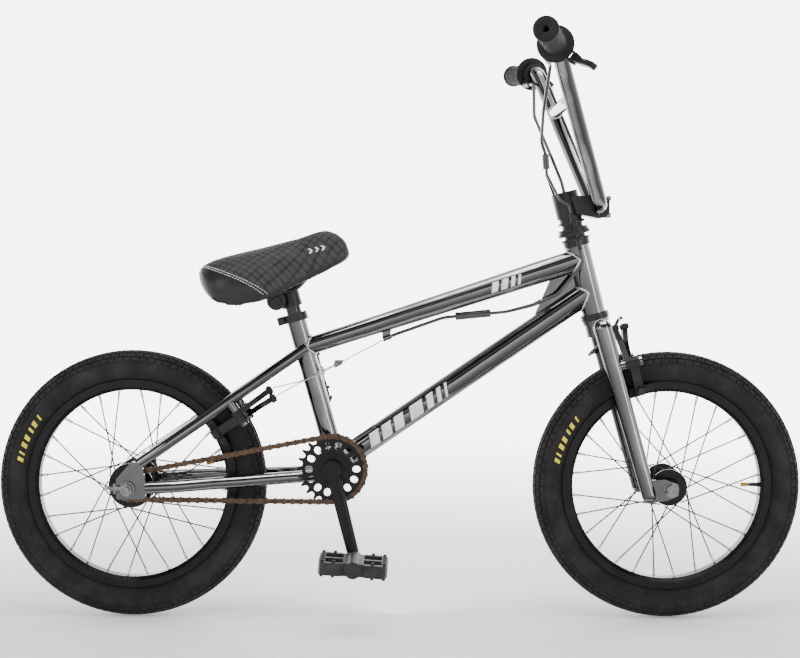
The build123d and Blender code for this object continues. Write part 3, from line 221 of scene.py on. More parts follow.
def spoke_finish():
    """Black wire with a bright nipple next to the rim."""
    material = surface("spokes", (0.012, 0.012, 0.013), (0.03, 0.03, 0.03), (0.3, 0.5), 0.0, 60, 1200,
        0.00003, shine=0.15)
    tree = material.node_tree
    shader = tree.nodes["Principled BSDF"]
    place = tree.nodes.new("ShaderNodeTexCoord")
    parts = tree.nodes.new("ShaderNodeSeparateXYZ")
    link(tree, place.outputs["Object"], parts.inputs["Vector"])
    across = math_node(tree, "SUBTRACT", math_node(tree, "ABSOLUTE", parts.outputs["X"]), WHEEL_X)
    up = math_node(tree, "SUBTRACT", parts.outputs["Z"], WHEEL_Z)
    square = math_node(tree, "ADD", math_node(tree, "MULTIPLY", across, across), math_node(tree,
        "MULTIPLY", up, up))
    far = math_node(tree, "GREATER_THAN", math_node(tree, "SQRT", square), 0.1292)
    base = shader.inputs["Base Color"].links[0].from_socket
    link(tree, blend_colors(tree, far, base, (0.7, 0.7, 0.71)), shader.inputs["Base Color"])
    link(tree, far, shader.inputs["Metallic"])
    return material


def saddle_parts(tree):
    """Distances forward, sideways and up in the saddle's own tilted frame, in millimetres."""
    place = tree.nodes.new("ShaderNodeTexCoord")
    parts = tree.nodes.new("ShaderNodeSeparateXYZ")
    link(tree, place.outputs["Object"], parts.inputs["Vector"])
    across = math_node(tree, "SUBTRACT", math_node(tree, "MULTIPLY", parts.outputs["X"], 1000.0), SADDLE_X)
    up = math_node(tree, "SUBTRACT", math_node(tree, "MULTIPLY", parts.outputs["Z"], 1000.0), SADDLE_Z)
    cosine, sine = math.cos(SADDLE_TILT), math.sin(SADDLE_TILT)
    forward = math_node(tree, "ADD", math_node(tree, "MULTIPLY", across, cosine), math_node(tree,
        "MULTIPLY", up, sine))
    height = math_node(tree, "SUBTRACT", math_node(tree, "MULTIPLY", up, cosine),
                       math_node(tree, "MULTIPLY", across, sine))
    return forward, math_node(tree, "MULTIPLY", parts.outputs["Y"], 1000.0), height


def saddle_finish():
    """Diamond embossed fabric over the top, smooth leatherette round the rear and a glossy moulded corner."""
    material = bpy.data.materials.new("saddle_cover_finish")
    material.use_nodes = True
    tree = material.node_tree
    shader = tree.nodes["Principled BSDF"]
    shader.inputs["Specular IOR Level"].default_value = 0.25
    forward, sideways, height = saddle_parts(tree)
    level = math_node(tree, "DIVIDE", math_node(tree, "ADD", height, -SEAM_MIDDLE), SEAM_REACH)
    bow = math_node(tree, "MULTIPLY", math_node(tree, "SUBTRACT", 1.0, math_node(tree, "MULTIPLY", level,
        level)),
                    SEAM_BOW)
    straight = math_node(tree, "ADD", math_node(tree, "MULTIPLY", height, -SEAM_SLOPE), SEAM_START)
    seam = math_node(tree, "ADD", straight, bow)
    leather = math_node(tree, "LESS_THAN", forward, seam)
    curve = math_node(tree, "ADD", forward, 88.0)
    corner = math_node(tree, "SUBTRACT", -21.0, math_node(tree, "MULTIPLY", math_node(tree, "MULTIPLY",
        curve, curve),
                                                           0.0085))
    moulded = math_node(tree, "MULTIPLY", math_node(tree, "LESS_THAN", height, corner),
                        math_node(tree, "LESS_THAN", forward, -22.0))
    strip = math_node(tree, "MULTIPLY",
                      math_node(tree, "LESS_THAN", height,
                                math_node(tree, "ADD", math_node(tree, "MULTIPLY", forward, 0.2), -36.0)),
                      math_node(tree, "GREATER_THAN", forward, -12.0))
    smooth = math_node(tree, "MAXIMUM", leather, strip)
    girth = math_node(tree, "ADD", math_node(tree, "ABSOLUTE", sideways), math_node(tree, "MULTIPLY",
        height, -0.75))
    ridges = []
    for sign in (1, -1):
        run = math_node(tree, "ADD", math_node(tree, "MULTIPLY", forward, DIAMOND), math_node(
            tree, "MULTIPLY", girth, sign * DIAMOND))
        wave = math_node(tree, "ABSOLUTE", math_node(tree, "SINE", run, 0.0), 0.0)
        ridges.append(math_node(tree, "POWER", wave, 0.35))
    diamonds = math_node(tree, "MULTIPLY", ridges[0], ridges[1])
    weave = noise(tree, 2600, 3, (1, 1, 1))
    fabric = math_node(tree, "ADD", diamonds, math_node(tree, "MULTIPLY", weave, 0.16))
    hide = math_node(tree, "MULTIPLY", noise(tree, 1500, 6), 0.12)
    chosen = tree.nodes.new("ShaderNodeMix")
    link(tree, smooth, chosen.inputs["Factor"])
    link(tree, fabric, chosen.inputs[2])
    link(tree, hide, chosen.inputs[3])
    add_bump(tree, shader, chosen.outputs[0], 0.0006, 0.9)
    # Painted shade: the fabric is painted darker along the grooves between the diamonds and lighter on the raised
    # diamonds.
    groove = spread(tree, diamonds, 0, 1, 0.45, 0.8)
    cloth = blend_colors(tree, groove, (0.005, 0.0045, 0.005), (0.03, 0.0275, 0.0285))
    mottled = blend_colors(tree, spread(tree, noise(tree, 60, 6), 0, 0.4), cloth, (0.05, 0.046, 0.047))
    skin = blend_colors(tree, spread(tree, noise(tree, 45, 5), 0, 0.6), (0.009, 0.008, 0.008), (0.016,
        0.014, 0.014))
    base = blend_colors(tree, smooth, mottled, skin)
    link(tree, blend_colors(tree, moulded, base, (0.012, 0.012, 0.012)), shader.inputs["Base Color"])
    rough = blend_colors(tree, smooth, (0.62, 0.62, 0.62), (0.34, 0.34, 0.34))
    rough = blend_colors(tree, moulded, rough, (0.14, 0.14, 0.14))
    varied = math_node(tree, "ADD", rough, spread(tree, noise(tree, 300, 5), -0.05, 0.08))
    link(tree, varied, shader.inputs["Roughness"])
    return material


# ---------------------------------------------------------------- where things are
def middle(node):
    low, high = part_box(node)
    return (low + high) / 2


rear_centre = middle("rear_rim")
front_centre = middle("front_rim")
WHEEL_X = front_centre.x
WHEEL_Z = front_centre.z
SADDLE_TILT = math.radians(14.6)
SADDLE_X = -190.0
SADDLE_Z = 525.0
SEAM_START = -67.0
SEAM_SLOPE = 1.28
SEAM_MIDDLE = -8.0
SEAM_REACH = 34.0
SEAM_BOW = 11.0
DIAMOND = 0.222
saddle_origin = Vector((SADDLE_X, 0, SADDLE_Z)) / 1000
saddle_forward = Vector((math.cos(SADDLE_TILT), 0, math.sin(SADDLE_TILT)))
saddle_up = Vector((-math.sin(SADDLE_TILT), 0, math.cos(SADDLE_TILT)))

finishes = {
    "dark_chrome": chrome, "black_metal": black_metal, "gloss_black_metal": gloss_black, "steel_parts": steel,
    "black_chrome": black_chrome, "bronze_chain": bronze, "brake_rubber": brake_rubber,
        "tyre_rubber": tyre_rubber,
    "grip_rubber": grip_rubber, "cable_housing": housing, "cable_wire": wire, "pedal_plastic": pedal_plastic,
    "saddle_fabric": saddle_finish(), "saddle_plastic": saddle_plastic,
}
spoke_material = spoke_finish()
for row in frame["record"]["subparts"]:
    node = frame["nodes"][row["node"]]
    node.data.materials.clear()
    finish = spoke_material if row["node"].endswith("_spokes") else finishes[row["material_slot"]]
    node.data.materials.append(finish)


# ---------------------------------------------------------------- mesh helpers
def new_mesh(name, points, faces, material, body, smooth=True):
    mesh = bpy.data.meshes.new(name)
    mesh.from_pydata([tuple(p) for p in points], [], faces)
    mesh.validate()
    mesh.update()
    piece = bpy.data.objects.new(name, mesh)
    bpy.context.scene.collection.objects.link(piece)
    mesh.materials.append(material)
    if smooth:
        mesh.polygons.foreach_set("use_smooth", [True] * len(mesh.polygons))
    if body:
        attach(piece, body)
    return piece


def soften(piece, width, segments=2, angle=0.6):
    modifier = piece.modifiers.new("edges", "BEVEL")
    modifier.width = width
    modifier.segments = segments
    modifier.limit_method = "ANGLE"
    modifier.angle_limit = angle
    return piece


def across_axes(axis):
    first = axis.cross(Vector((0, 0, 1)) if abs(axis.z) < 0.9 else SIDE).normalized()
    return first, axis.cross(first).normalized()


def lathe(name, origin, axis, profile, material, body, sides=48, smooth=True):
    """Turns a closed profile of (along, radius) in metres round an axis."""
    first, second = across_axes(axis)
    points, faces = [], []
    count = len(profile)
    for step in range(sides):
        angle = 2 * math.pi * step / sides
        out = first * math.cos(angle) + second * math.sin(angle)
        points += [origin + axis * along + out * radius for along, radius in profile]
        after = (step + 1) % sides
        for index in range(count):
            other = (index + 1) % count
            faces.append((step * count + index, step * count + other, after * count + other,
                after * count + index))
    piece = new_mesh(name, points, faces, material, body, smooth)
    return piece


def swept(points, radii, sides=8, closed=False):
    """Points and faces of a round tube along a line, with its own radius at every point."""
    verts, faces = [], []
    count = len(points)
    normal = None
    for index, point in enumerate(points):
        ahead = points[(index + 1) % count] if closed or index + 1 < count else point
        behind = points[index - 1] if closed or index > 0 else point
        along = (ahead - behind).normalized()
        if normal is None:
            normal = across_axes(along)[0]
        normal = (normal - along * normal.dot(along)).normalized()
        other = along.cross(normal)
        for side in range(sides):
            angle = 2 * math.pi * side / sides
            verts.append(point + (normal * math.cos(angle) + other * math.sin(angle)) * radii[index])
    for index in range(count if closed else count - 1):
        after = (index + 1) % count
        for side in range(sides):
            turn = (side + 1) % sides
            faces.append((index * sides + side, index * sides + turn, after * sides + turn,
                after * sides + side))
    if not closed:
        faces.append(tuple(reversed(range(sides))))
        faces.append(tuple(range((count - 1) * sides, count * sides)))
    return verts, faces


class Gather:
    """Collects many small shapes into one mesh."""

    def __init__(self):
        self.points = []
        self.faces = []

    def add(self, points, faces):
        start = len(self.points)
        self.points += list(points)
        self.faces += [tuple(start + index for index in face) for face in faces]


def chamfered_block(centre, along, across, out, half_along, half_across, height, chamfer):
    """A raised block that stands on centre, with its upper edges cut at an angle."""
    points = []
    for level, inset in ((-0.0008, 0.0), (height - chamfer, 0.0), (height, chamfer)):
        for a, b in ((-1, -1), (1, -1), (1, 1), (-1, 1)):
            points.append(centre + out * level + along * a * (half_along - inset) + across * b * (half_across - inset))
    faces = [(8, 9, 10, 11), (3, 2, 1, 0)]
    for ring in (0, 4):
        for corner in range(4):
            after = (corner + 1) % 4
            faces.append((ring + corner, ring + after, ring + 4 + after, ring + 4 + corner))
    return points, faces


# ---------------------------------------------------------------- tyres
HALF_SECTION = [(0.0, 196.9), (5.0, 196.5), (10.0, 195.2), (14.5, 193.0), (18.5, 189.6), (21.5, 185.0),
    (23.4, 179.5),
                (24.0, 173.5), (23.0, 167.0), (20.5, 161.8), (17.0, 158.4), (13.6, 156.8), (11.5, 155.6),
                    (11.2, 152.5),
                (10.8, 150.4), (8.0, 150.3)]


def smooth_line(points, steps):
    """A smooth line through the points, as many small steps."""
    line = []
    last = len(points) - 1
    for index in range(last):
        p0, p1 = points[max(index - 1, 0)], points[index]
        p2, p3 = points[index + 1], points[min(index + 2, last)]
        if index == 0:
            p0 = (-p2[0], p2[1])
        for step in range(steps):
            t = step / steps
            line.append(tuple(0.5 * ((2 * b) + (c - a) * t + (2 * a - 5 * b + 4 * c - d) * t * t
                                     + (3 * b - a - 3 * c + d) * t * t * t)
                              for a, b, c, d in zip(p0, p1, p2, p3)))
    line.append(points[-1])
    return line


def section_walk(line):
    """Distance along the section, from the crown."""
    total, walk = 0.0, [0.0]
    for before, after in zip(line, line[1:]):
        total += math.dist(before, after)
        walk.append(total)
    return walk


section = smooth_line(HALF_SECTION, 8)
walk = section_walk(section)
RIBS = (42.0, 45.2, 48.4)


def at_walk(distance):
    """Point and outward normal of the section at a distance from the crown, in millimetres."""
    index = max(i for i in range(len(walk) - 1) if walk[i] <= distance)
    share = (distance - walk[index]) / (walk[index + 1] - walk[index])
    before, after = section[index], section[index + 1]
    point = [b + (a - b) * share for b, a in zip(before, after)]
    run = Vector((after[0] - before[0], after[1] - before[1])).normalized()
    return point, Vector((-run.y, run.x)), run


def walk_at_radius(radius):
    return min((abs(p[1] - radius), w) for p, w in zip(section, walk) if w > 20)[1]


def wheel_point(centre, angle, sideways, radius):
    return centre + Vector((radius * math.cos(angle), sideways, radius * math.sin(angle))) / 1000


def make_tyre(name, centre, body, node):
    around = 144
    outline = []
    for (sideways, radius), distance in zip(section, walk):
        point, normal, run = at_walk(min(distance, walk[-1] - 0.01))
        lift = sum(0.55 * math.exp(-((distance - rib) / 0.55) ** 2) for rib in RIBS)
        lift += 0.35 * math.exp(-((distance - 27.5) / 0.6) ** 2)
        outline.append((sideways + normal.x * -lift if normal.x < 0 else sideways + normal.x * lift,
                        radius + normal.y * lift))
    full = [(-a, b) for a, b in reversed(outline)] + outline[1:]
    points, faces = [], []
    count = len(full)
    for step in range(around):
        angle = 2 * math.pi * step / around
        points += [wheel_point(centre, angle, a, b) for a, b in full]
        after = (step + 1) % around
        for index in range(count):
            other = (index + 1) % count
            faces.append((step * count + index, after * count + index, after * count + other,
                step * count + other))
    carcass = new_mesh(name, points, faces, tyre_rubber, body)
    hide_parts(node)
    tread = Gather()
    per_row = 100
    rows = [(0.0, 0.0, 3.5), (8.4, 0.5, 3.6), (16.8, 0.0, 3.6), (24.6, 0.5, 3.1)]
    for distance, shift, half in rows:
        for side in ((-1, 1) if distance else (1,)):
            (sideways, radius), normal, run = at_walk(max(distance, 0.01))
            for step in range(per_row):
                angle = 2 * math.pi * (step + shift) / per_row
                radial = Vector((math.cos(angle), 0, math.sin(angle)))
                round_way = Vector((-math.sin(angle), 0, math.cos(angle)))
                out = (radial * abs(normal.y) + SIDE * side * abs(normal.x)).normalized()
                over = out.cross(round_way).normalized()
                grow = random.uniform(-0.06, 0.06)
                half_round = (math.pi * radius / per_row - 0.75 + grow) / 1000
                base = wheel_point(centre, angle, side * sideways, radius)
                tread.add(*chamfered_block(base, round_way, over, out, half_round, half / 1000, 0.0019,
                    0.0005))
    new_mesh(name + "_tread", tread.points, tread.faces, tyre_rubber, body, smooth=False)


def sidewall_patch(centre, start, end, low, high, lift, slant=0.0):
    """A thin raised patch on the rider's right sidewall, between two angles and two radii."""
    points, faces = [], []
    wide, tall = 5, 5
    for row in range(tall + 1):
        share = row / tall
        (sideways, radius), normal, run = at_walk(walk_at_radius(high) + (walk_at_radius(low) - walk_at_radius(high))
                                                  * share)
        for column in range(wide + 1):
            angle = start + (end - start) * column / wide + slant * (0.5 - share)
            flat = abs(normal.x) * lift
            points.append(wheel_point(centre, angle, -(sideways + flat), radius + abs(normal.y) * lift * 0.3))
    for row in range(tall):
        for column in range(wide):
            a = row * (wide + 1) + column
            faces.append((a, a + 1, a + wide + 2, a + wide + 1))
    return points, faces


def sidewall_marks(name, centre, body):
    """A row of plain slanted blocks, painted on the sidewall."""
    marks = Gather()
    widths = (1.9, 1.0, 2.2, 2.2, 1.3, 2.2, 1.0)
    angle = math.radians(168)
    for index, width in enumerate(widths):
        span = math.radians(width)
        slant = math.radians(-1.0)
        marks.add(*sidewall_patch(centre, angle, angle - span, 164.0, 172.5, 0.35, slant))
        angle -= span + math.radians(2.6 if index % 2 else 1.7)
    piece = new_mesh(name, marks.points, marks.faces, yellow, body)
    thick = piece.modifiers.new("paint", "SOLIDIFY")
    thick.thickness = 0.0003


def make_valve(name, centre, angle, body):
    """Rubber stem and a ribbed metal cap, pointing at the hub."""
    inward = Vector((-math.cos(angle), 0, -math.sin(angle)))
    foot = centre - inward * 0.1405
    stem = [(0, 0.0), (0, 0.0034), (0.004, 0.0030), (0.013, 0.0027), (0.015, 0.0024), (0.0175, 0.0022),
        (0.0175, 0.0)]
    lathe(name + "_stem", foot, inward, stem, brake_rubber, body, 24)
    cap = [(0.0176, 0.0)]
    for ridge in range(9):
        along = 0.0176 + ridge * 0.00115
        cap += [(along, 0.0026), (along + 0.0003, 0.0030), (along + 0.0008, 0.0030), (along + 0.0011, 0.0026)]
    cap += [(0.0282, 0.0022), (0.0285, 0.0)]
    lathe(name + "_cap", foot, inward, cap, brass, body, 24, smooth=False)


make_tyre("rear_tyre_shape", rear_centre, "rear_wheel", "rear_tyre")
make_tyre("front_tyre_shape", front_centre, "front_wheel", "front_tyre")
sidewall_marks("rear_tyre_marks", rear_centre, "rear_wheel")
sidewall_marks("front_tyre_marks", front_centre, "front_wheel")
make_valve("rear_valve", rear_centre, math.radians(15), "rear_wheel")
make_valve("front_valve", front_centre, 0.0, "front_wheel")


# ---------------------------------------------------------------- weld beads
def mm(x, y, z):
    return Vector((x, y, z)) / 1000


def weld_bead(gather, start, end, radius, main_start, main_end, main_radius, size=2.1):
    """A rippled bead where a tube that runs from start to end meets the side of a main tube."""
    axis = (end - start).normalized()
    main = (main_end - main_start).normalized()
    first, second = across_axes(axis)
    line = []
    steps = 96
    for step in range(steps):
        angle = 2 * math.pi * step / steps
        foot = end + (first * math.cos(angle) + second * math.sin(angle)) * radius
        gap = foot - main_start
        flat_gap = gap - main * gap.dot(main)
        flat_axis = axis - main * axis.dot(main)
        a = flat_axis.dot(flat_axis)
        b = 2 * flat_gap.dot(flat_axis)
        c = flat_gap.dot(flat_gap) - main_radius ** 2
        root = b * b - 4 * a * c
        if root <= 0:
            return False
        travel = (-b - math.sqrt(root)) / (2 * a)
        line.append(foot + axis * travel)
    radii = [(size + 0.4 * abs(math.sin(step * math.pi / 3))) / 1000 for step in range(steps)]
    gather.add(*swept(line, radii, 8, closed=True))
    return True


head_top, lean = mm(262.4, 0, 554.7), math.radians(14.5)
steer_axis = Vector((-math.sin(lean), 0, math.cos(lean)))
head_bottom = head_top - steer_axis * 0.103
seat_top, seat_lean = mm(-157.4, 0, 453.2), math.radians(15.8)
seat_axis = Vector((-math.sin(seat_lean), 0, math.cos(seat_lean)))
seat_low = seat_top - seat_axis * 0.236
bracket = middle("bottom_bracket_shell")
top_rear, top_front = mm(-138.7, 0, 403.24), mm(268, 0, 535.5)
down_front = mm(280, 0, 487)
beads = Gather()
made = [
    weld_bead(beads, top_rear, top_front, 0.017, head_bottom, head_top, 0.0173),
    weld_bead(beads, bracket, down_front, 0.017, head_bottom, head_top, 0.0173),
    weld_bead(beads, top_front, top_rear, 0.0132, seat_low, seat_top, 0.0143),
    weld_bead(beads, down_front, bracket, 0.017, bracket - SIDE * 0.034, bracket + SIDE * 0.034, 0.0285),
    weld_bead(beads, seat_top, bracket, 0.0143, bracket - SIDE * 0.034, bracket + SIDE * 0.034, 0.0285),
]
for side in (-1, 1):
    made.append(weld_bead(beads, mm(-232, side * 38.5, 338.4), mm(-139, side * 16, 402.8), 0.008, seat_low,
        seat_top,
                          0.0143, 1.5))
    made.append(weld_bead(beads, mm(-170, side * 28, 211), mm(-98.672, side * 22, 215.5), 0.009,
                          bracket - SIDE * 0.034, bracket + SIDE * 0.034, 0.0285, 1.5))
new_mesh("frame_welds", beads.points, beads.faces, weld, "frame")
fork_beads = Gather()
bar_beads = Gather()
for side in (-1, 1):
    weld_bead(fork_beads, mm(297, 0, 434), mm(297, side * 37, 434), 0.012, mm(297, side * 37, 434),
              mm(365, side * 52.5, 190), 0.0134, 1.6)
    weld_bead(bar_beads, mm(238.6, 0, 761), mm(238.6, side * 126.3, 761), 0.0095, mm(291.3, side * 40, 612.4),
              mm(215.5, side * 164, 826), 0.0111, 1.7)
if fork_beads.points:
    new_mesh("fork_welds", fork_beads.points, fork_beads.faces, weld, "fork")
if bar_beads.points:
    new_mesh("bar_welds", bar_beads.points, bar_beads.faces, weld, "fork")


# ---------------------------------------------------------------- decals on the tubes
def tube_patch(gather, start, end, radius, corners, lift):
    """A thin patch on a tube. Each corner is a distance from start in millimetres and an angle from the tube's
    right hand side, in degrees."""
    axis = (end - start).normalized()
    up = (SIDE * -1).cross(axis).normalized()
    if up.z < 0:
        up = -up
    steps = 8
    points, faces = [], []
    (a, b, c, d) = corners
    for row in range(steps + 1):
        v = row / steps
        for column in range(steps + 1):
            u = column / steps
            low = [p + (q - p) * u for p, q in zip(a, b)]
            high = [p + (q - p) * u for p, q in zip(d, c)]
            along, angle = [p + (q - p) * v for p, q in zip(low, high)]
            angle = math.radians(angle)
            out = SIDE * -math.cos(angle) + up * math.sin(angle)
            points.append(start + axis * along / 1000 + out * (radius + lift / 1000))
    for row in range(steps):
        for column in range(steps):
            k = row * (steps + 1) + column
            faces.append((k, k + 1, k + steps + 2, k + steps + 1))
    gather.add(points, faces)


def speed_bars(name, start, end, radius, bars, low, high, lean_mm, rim):
    """Slanted white bars with a dark edge, on both sides of a tube."""
    white, dark = Gather(), Gather()
    for mirrored in (False, True):
        for first, width in bars:
            for gather, grow, lift in ((dark, rim, 0.12), (white, 0.0, 0.26)):
                spin = grow * 3.4
                corners = [(first - grow, low - spin), (first + width + grow, low - spin),
                           (first + width + grow + lean_mm, high + spin), (first - grow + lean_mm,
                               high + spin)]
                if mirrored:
                    corners = [(along, 180 - angle) for along, angle in corners]
                tube_patch(gather, start, end, radius, corners, lift)
    new_mesh(name + "_edge", dark.points, dark.faces, decal_black, "frame")
    new_mesh(name + "_bars", white.points, white.faces, decal_white, "frame")


speed_bars("down_tube_marks", bracket, down_front, 0.017,
           [(62, 16), (84, 16), (106, 16), (134, 22), (164, 11), (182, 7), (196, 4)], -34, 34, 9, 1.6)
speed_bars("top_tube_marks", top_rear, top_front, 0.0163, [(285, 10), (300, 10), (315, 6), (326, 4)], -26,
    26, 6, 1.0)


# ---------------------------------------------------------------- grips
GRIP_CORNER = mm(215.5, 164, 826)
BAR_END = mm(187.0, 291, 834.8)


def grip_profile():
    profile = [(0.029, 0.0113), (0.029, 0.0245), (0.0297, 0.0258), (0.0323, 0.0258), (0.0335, 0.0245),
               (0.0345, 0.0172)]
    along = 0.0365
    while along < 0.1275:
        profile += [(along, 0.0154), (along + 0.0006, 0.016), (along + 0.0022, 0.016), (along + 0.0028,
            0.0154)]
        along += 0.0036
    profile += [(0.1292, 0.0155), (0.1298, 0.017), (0.1312, 0.0175), (0.1335, 0.0172), (0.134, 0.0155),
                (0.134, 0.0045), (0.1315, 0.004), (0.1315, 0.0113)]
    return profile


for word, side in (("right", -1), ("left", 1)):
    corner = Vector((GRIP_CORNER.x, side * GRIP_CORNER.y, GRIP_CORNER.z))
    axis = Vector((BAR_END.x, side * BAR_END.y, BAR_END.z)) - corner
    piece = lathe(f"grip_{word}_shape", corner, axis.normalized(), grip_profile(), grip_rubber, "fork",
                  64)
    soften(piece, 0.0002, 1)
    if word == "right":
        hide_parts("grips")
    else:
        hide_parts("grips")


# ---------------------------------------------------------------- saddle
def saddle_point(forward, sideways, height):
    return saddle_origin + saddle_forward * forward / 1000 + SIDE * sideways / 1000 + saddle_up * height / 1000


def baked(piece):
    """The piece's mesh with its modifiers applied."""
    graph = bpy.context.evaluated_depsgraph_get()
    mesh = bpy.data.meshes.new_from_object(piece.evaluated_get(graph))
    piece.modifiers.clear()
    piece.data = mesh
    return piece


def seam_forward(height):
    """How far forward the seam runs at a height, in the saddle's frame, in millimetres."""
    bow = SEAM_BOW * (1 - ((height - SEAM_MIDDLE) / SEAM_REACH) ** 2)
    return SEAM_START - SEAM_SLOPE * height + bow


def make_saddle():
    source = frame["nodes"]["saddle_cover"]
    piece = bpy.data.objects.new("saddle_cover_shape", source.data.copy())
    bpy.context.scene.collection.objects.link(piece)
    remesh = piece.modifiers.new("even", "REMESH")
    remesh.mode = "VOXEL"
    remesh.voxel_size = 0.0045
    baked(piece)
    even = piece.modifiers.new("relax", "SMOOTH")
    even.iterations = 4
    even.factor = 0.5
    baked(piece)
    rest = [v.co.copy() for v in piece.data.vertices]
    cloth = piece.modifiers.new("stuffing", "CLOTH")
    settings = cloth.settings
    settings.use_pressure = True
    settings.uniform_pressure_force = 4.0
    settings.tension_stiffness = 40
    settings.compression_stiffness = 40
    settings.effector_weights.gravity = 0.0
    holding = piece.vertex_groups.new(name="held")
    low = [v.index for v in piece.data.vertices if (v.co - saddle_origin).dot(saddle_up) < -0.012]
    holding.add(low, 1.0, "REPLACE")
    settings.vertex_group_mass = "held"
    cloth.point_cache.frame_start = 1
    cloth.point_cache.frame_end = 20
    for number in range(1, 21):
        bpy.context.scene.frame_set(number)
        bpy.context.view_layer.update()
    baked(piece)
    bpy.context.scene.frame_set(1)
    for vertex, start in zip(piece.data.vertices, rest):
        move = vertex.co - start
        if move.length > 0.0015:
            vertex.co = start + move.normalized() * 0.0015
    for vertex in piece.data.vertices:
        away = vertex.co - saddle_origin
        forward, height = away.dot(saddle_forward) * 1000, away.dot(saddle_up) * 1000
        edge = -21 - 0.0085 * (forward + 88) ** 2
        inside = min(max((edge - height) / 5, 0), 1) * min(max((-24 - forward) / 8, 0), 1)
        seam = forward - seam_forward(height)
        groove = math.exp(-(seam / 2.2) ** 2)
        shift = vertex.normal * (0.0011 * inside - 0.0007 * groove)
        vertex.co += shift
    fine = piece.modifiers.new("fine", "SUBSURF")
    fine.levels = 2
    fine.render_levels = 2
    piece.data.materials.clear()
    piece.data.materials.append(finishes["saddle_fabric"])
    piece.data.polygons.foreach_set("use_smooth", [True] * len(piece.data.polygons))
    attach(piece, "saddle")
    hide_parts("saddle_cover")
    return piece


def surface_tree(piece):
    graph = bpy.context.evaluated_depsgraph_get()
    return BVHTree.FromObject(piece, graph)


def seam_line(tree, shift):
    """Points where the seam lies on the saddle's skin, over the top from one low edge to the other."""
    line = []
    for step in range(401):
        angle = math.radians(-24 + 228 * step / 400)
        height = 0.0
        hit = None
        for _ in range(14):
            forward = min(max(seam_forward(height) + shift, -98.0), 0.0)
            way = SIDE * math.cos(angle) + saddle_up * math.sin(angle)
            hit = tree.ray_cast(saddle_point(forward, 0, -14) + way * 0.12, -way, 0.12)
            if hit[0] is None:
                break
            height = 0.5 * height + 0.5 * (hit[0] - saddle_origin).dot(saddle_up) * 1000
        if hit[0] is not None:
            line.append((hit[0], hit[1]))
    return line


def even_steps(line, gap):
    """Points a fixed gap apart along a line of (point, normal)."""
    chosen, carried = [line[0]], 0.0
    for before, after in zip(line, line[1:]):
        span = (after[0] - before[0]).length
        if span > 0.01:
            continue
        while carried + span >= gap:
            share = (gap - carried) / span
            point = before[0].lerp(after[0], share)
            chosen.append((point, after[1]))
            before = (point, after[1])
            span = (after[0] - point).length
            carried = 0.0
        carried += span
    return chosen


def make_seams(tree):
    stitches = Gather()
    for shift in (-2.7, 2.7):
        line = even_steps(seam_line(tree, shift), 0.0042)
        for (start, normal), (end, _) in zip(line, line[1:]):
            span = end - start
            first, last = start + span * 0.14, start + span * 0.86
            mid = (first + last) / 2 + normal * 0.00035
            points = [first - normal * 0.0002, first.lerp(mid, 0.5) + normal * 0.0002, mid,
                      last.lerp(mid, 0.5) + normal * 0.0002, last - normal * 0.0002]
            stitches.add(*swept(points, [0.0003, 0.0005, 0.00055, 0.0005, 0.0003], 6))
    new_mesh("saddle_stitching", stitches.points, stitches.faces, thread, "saddle")
    fold = [(point - normal * 0.0002) for point, normal in even_steps(seam_line(tree, 0.0), 0.002)]
    points, faces = swept(fold, [0.00075] * len(fold), 8)
    new_mesh("saddle_seam_fold", points, faces, finishes["saddle_fabric"], "saddle")


def make_chevrons(tree):
    """Three small plain chevrons on each side of the nose."""
    white = Gather()
    for side in (-1, 1):
        for index in range(3):
            start = 58.0 + index * 9.5
            for sign in (-1, 1):
                points, faces = [], []
                for row in range(5):
                    for column in range(4):
                        height = 6.0 + sign * 3.6 * row / 4
                        forward = start + 3.6 * (1 - row / 4) + 3.2 * column / 3
                        origin = saddle_point(forward, side * 90, height)
                        hit = tree.ray_cast(origin, SIDE * -side, 0.09)
                        if hit[0] is None:
                            break
                        points.append(hit[0] + hit[1] * 0.0002)
                if len(points) < 20:
                    continue
                for row in range(4):
                    for column in range(3):
                        k = row * 4 + column
                        faces.append((k, k + 1, k + 5, k + 4))
                white.add(points, faces)
    if white.points:
        new_mesh("saddle_chevrons", white.points, white.faces, decal_white, "saddle")


saddle_piece = make_saddle()
saddle_skin = surface_tree(saddle_piece)
make_seams(saddle_skin)
make_chevrons(saddle_skin)


# ---------------------------------------------------------------- studio
def toward_back(tree, vector):
    """Rises from 1 to a brighter level in the directions behind the object."""
    unit = tree.nodes.new("ShaderNodeVectorMath")
    unit.operation = "NORMALIZE"
    link(tree, vector, unit.inputs[0])
    parts = tree.nodes.new("ShaderNodeSeparateXYZ")
    link(tree, unit.outputs["Vector"], parts.inputs["Vector"])
    return spread(tree, parts.outputs["Y"], SURROUND, SURROUND * BACK_GAIN, 0.1, 0.85), parts


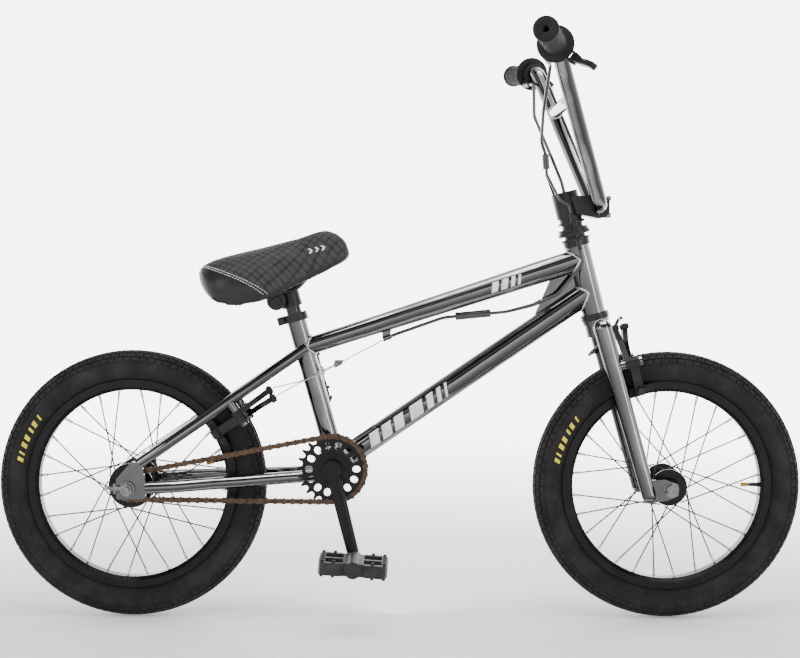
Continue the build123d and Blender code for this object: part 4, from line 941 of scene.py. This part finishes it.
def studio_floor():
    """A pale floor that fades into the pale surround a few metres out."""
    mesh = bpy.data.meshes.new("floor")
    mesh.from_pydata([(-60, -60, 0), (60, -60, 0), (60, 60, 0), (-60, 60, 0)], [], [(0, 1, 2, 3)])
    floor = bpy.data.objects.new("floor", mesh)
    bpy.context.scene.collection.objects.link(floor)
    material = bpy.data.materials.new("pale_floor")
    material.use_nodes = True
    tree = material.node_tree
    shader = tree.nodes["Principled BSDF"]
    shader.inputs["Base Color"].default_value = (0.9, 0.9, 0.9, 1)
    shader.inputs["Roughness"].default_value = 0.6
    glow = tree.nodes.new("ShaderNodeEmission")
    glow.inputs["Color"].default_value = (1, 1, 1, 1)
    place = tree.nodes.new("ShaderNodeTexCoord")
    strength, _ = toward_back(tree, place.outputs["Object"])
    link(tree, strength, glow.inputs["Strength"])
    distance = tree.nodes.new("ShaderNodeVectorMath")
    distance.operation = "LENGTH"
    link(tree, place.outputs["Object"], distance.inputs[0])
    far = spread(tree, distance.outputs["Value"], 0.12, 1, 0.6, 2.3)
    mix = tree.nodes.new("ShaderNodeMixShader")
    link(tree, far, mix.inputs[0])
    link(tree, shader.outputs[0], mix.inputs[1])
    link(tree, glow.outputs[0], mix.inputs[2])
    link(tree, mix.outputs[0], tree.nodes["Material Output"].inputs["Surface"])
    mesh.materials.append(material)
    return floor


def studio_world():
    """White round the horizon, darker bands higher up, so that plated tubes show streaks."""
    world = bpy.data.worlds.new("studio")
    bpy.context.scene.world = world
    world.use_nodes = True
    tree = world.node_tree
    place = tree.nodes.new("ShaderNodeTexCoord")
    strength, parts = toward_back(tree, place.outputs["Generated"])
    ramp = tree.nodes.new("ShaderNodeValToRGB")
    bands = ((0.0, 1.0), (0.22, 1.0), (0.3, 0.12), (0.42, 0.03), (0.5, 0.3), (0.58, 0.35), (0.66, 0.05),
        (0.8, 0.04),
             (0.92, 0.3))
    while len(ramp.color_ramp.elements) < len(bands):
        ramp.color_ramp.elements.new(0.5)
    for element, (place_at, value) in zip(ramp.color_ramp.elements, bands):
        element.position = place_at
        element.color = (value, value, value, 1)
    link(tree, parts.outputs["Z"], ramp.inputs["Fac"])
    background = tree.nodes["Background"]
    link(tree, strength, background.inputs["Strength"])
    link(tree, ramp.outputs["Color"], background.inputs["Color"])


def softbox(name, place, aim, width, height, power):
    data = bpy.data.lights.new(name, "AREA")
    data.shape = "RECTANGLE"
    data.size = width
    data.size_y = height
    data.energy = power
    light = bpy.data.objects.new(name, data)
    bpy.context.scene.collection.objects.link(light)
    light.location = place
    light.rotation_mode = "QUATERNION"
    light.rotation_quaternion = (Vector(aim) - Vector(place)).to_track_quat("-Z", "Y")


SURROUND = 2.1
BACK_GAIN = 3.2
studio_floor()
studio_world()
softbox("overhead", (0.2, -0.4, 2.6), (0, 0, 0.3), 2.4, 1.6, 60)
softbox("front_left", (-2.2, -2.4, 1.7), (0, 0, 0.45), 0.9, 1.6, 30)
softbox("front_right", (2.4, -2.0, 1.3), (0.1, 0, 0.4), 0.5, 1.8, 22)
softbox("behind", (0.3, 2.6, 1.9), (0, 0, 0.5), 2.2, 0.9, 26)

camera_data = bpy.data.cameras.new("camera")
camera_data.lens = 71.26
camera_data.sensor_width = 36
camera = bpy.data.objects.new("camera", camera_data)
bpy.context.scene.collection.objects.link(camera)
camera.matrix_world = (Matrix.Translation((-0.0004, -2.3541, 0.5602))
                       @ Matrix.Rotation(math.radians(90 - 3.158), 4, "X")
                       @ Matrix.Rotation(math.radians(0.188), 4, "Z"))
bpy.context.scene.camera = camera
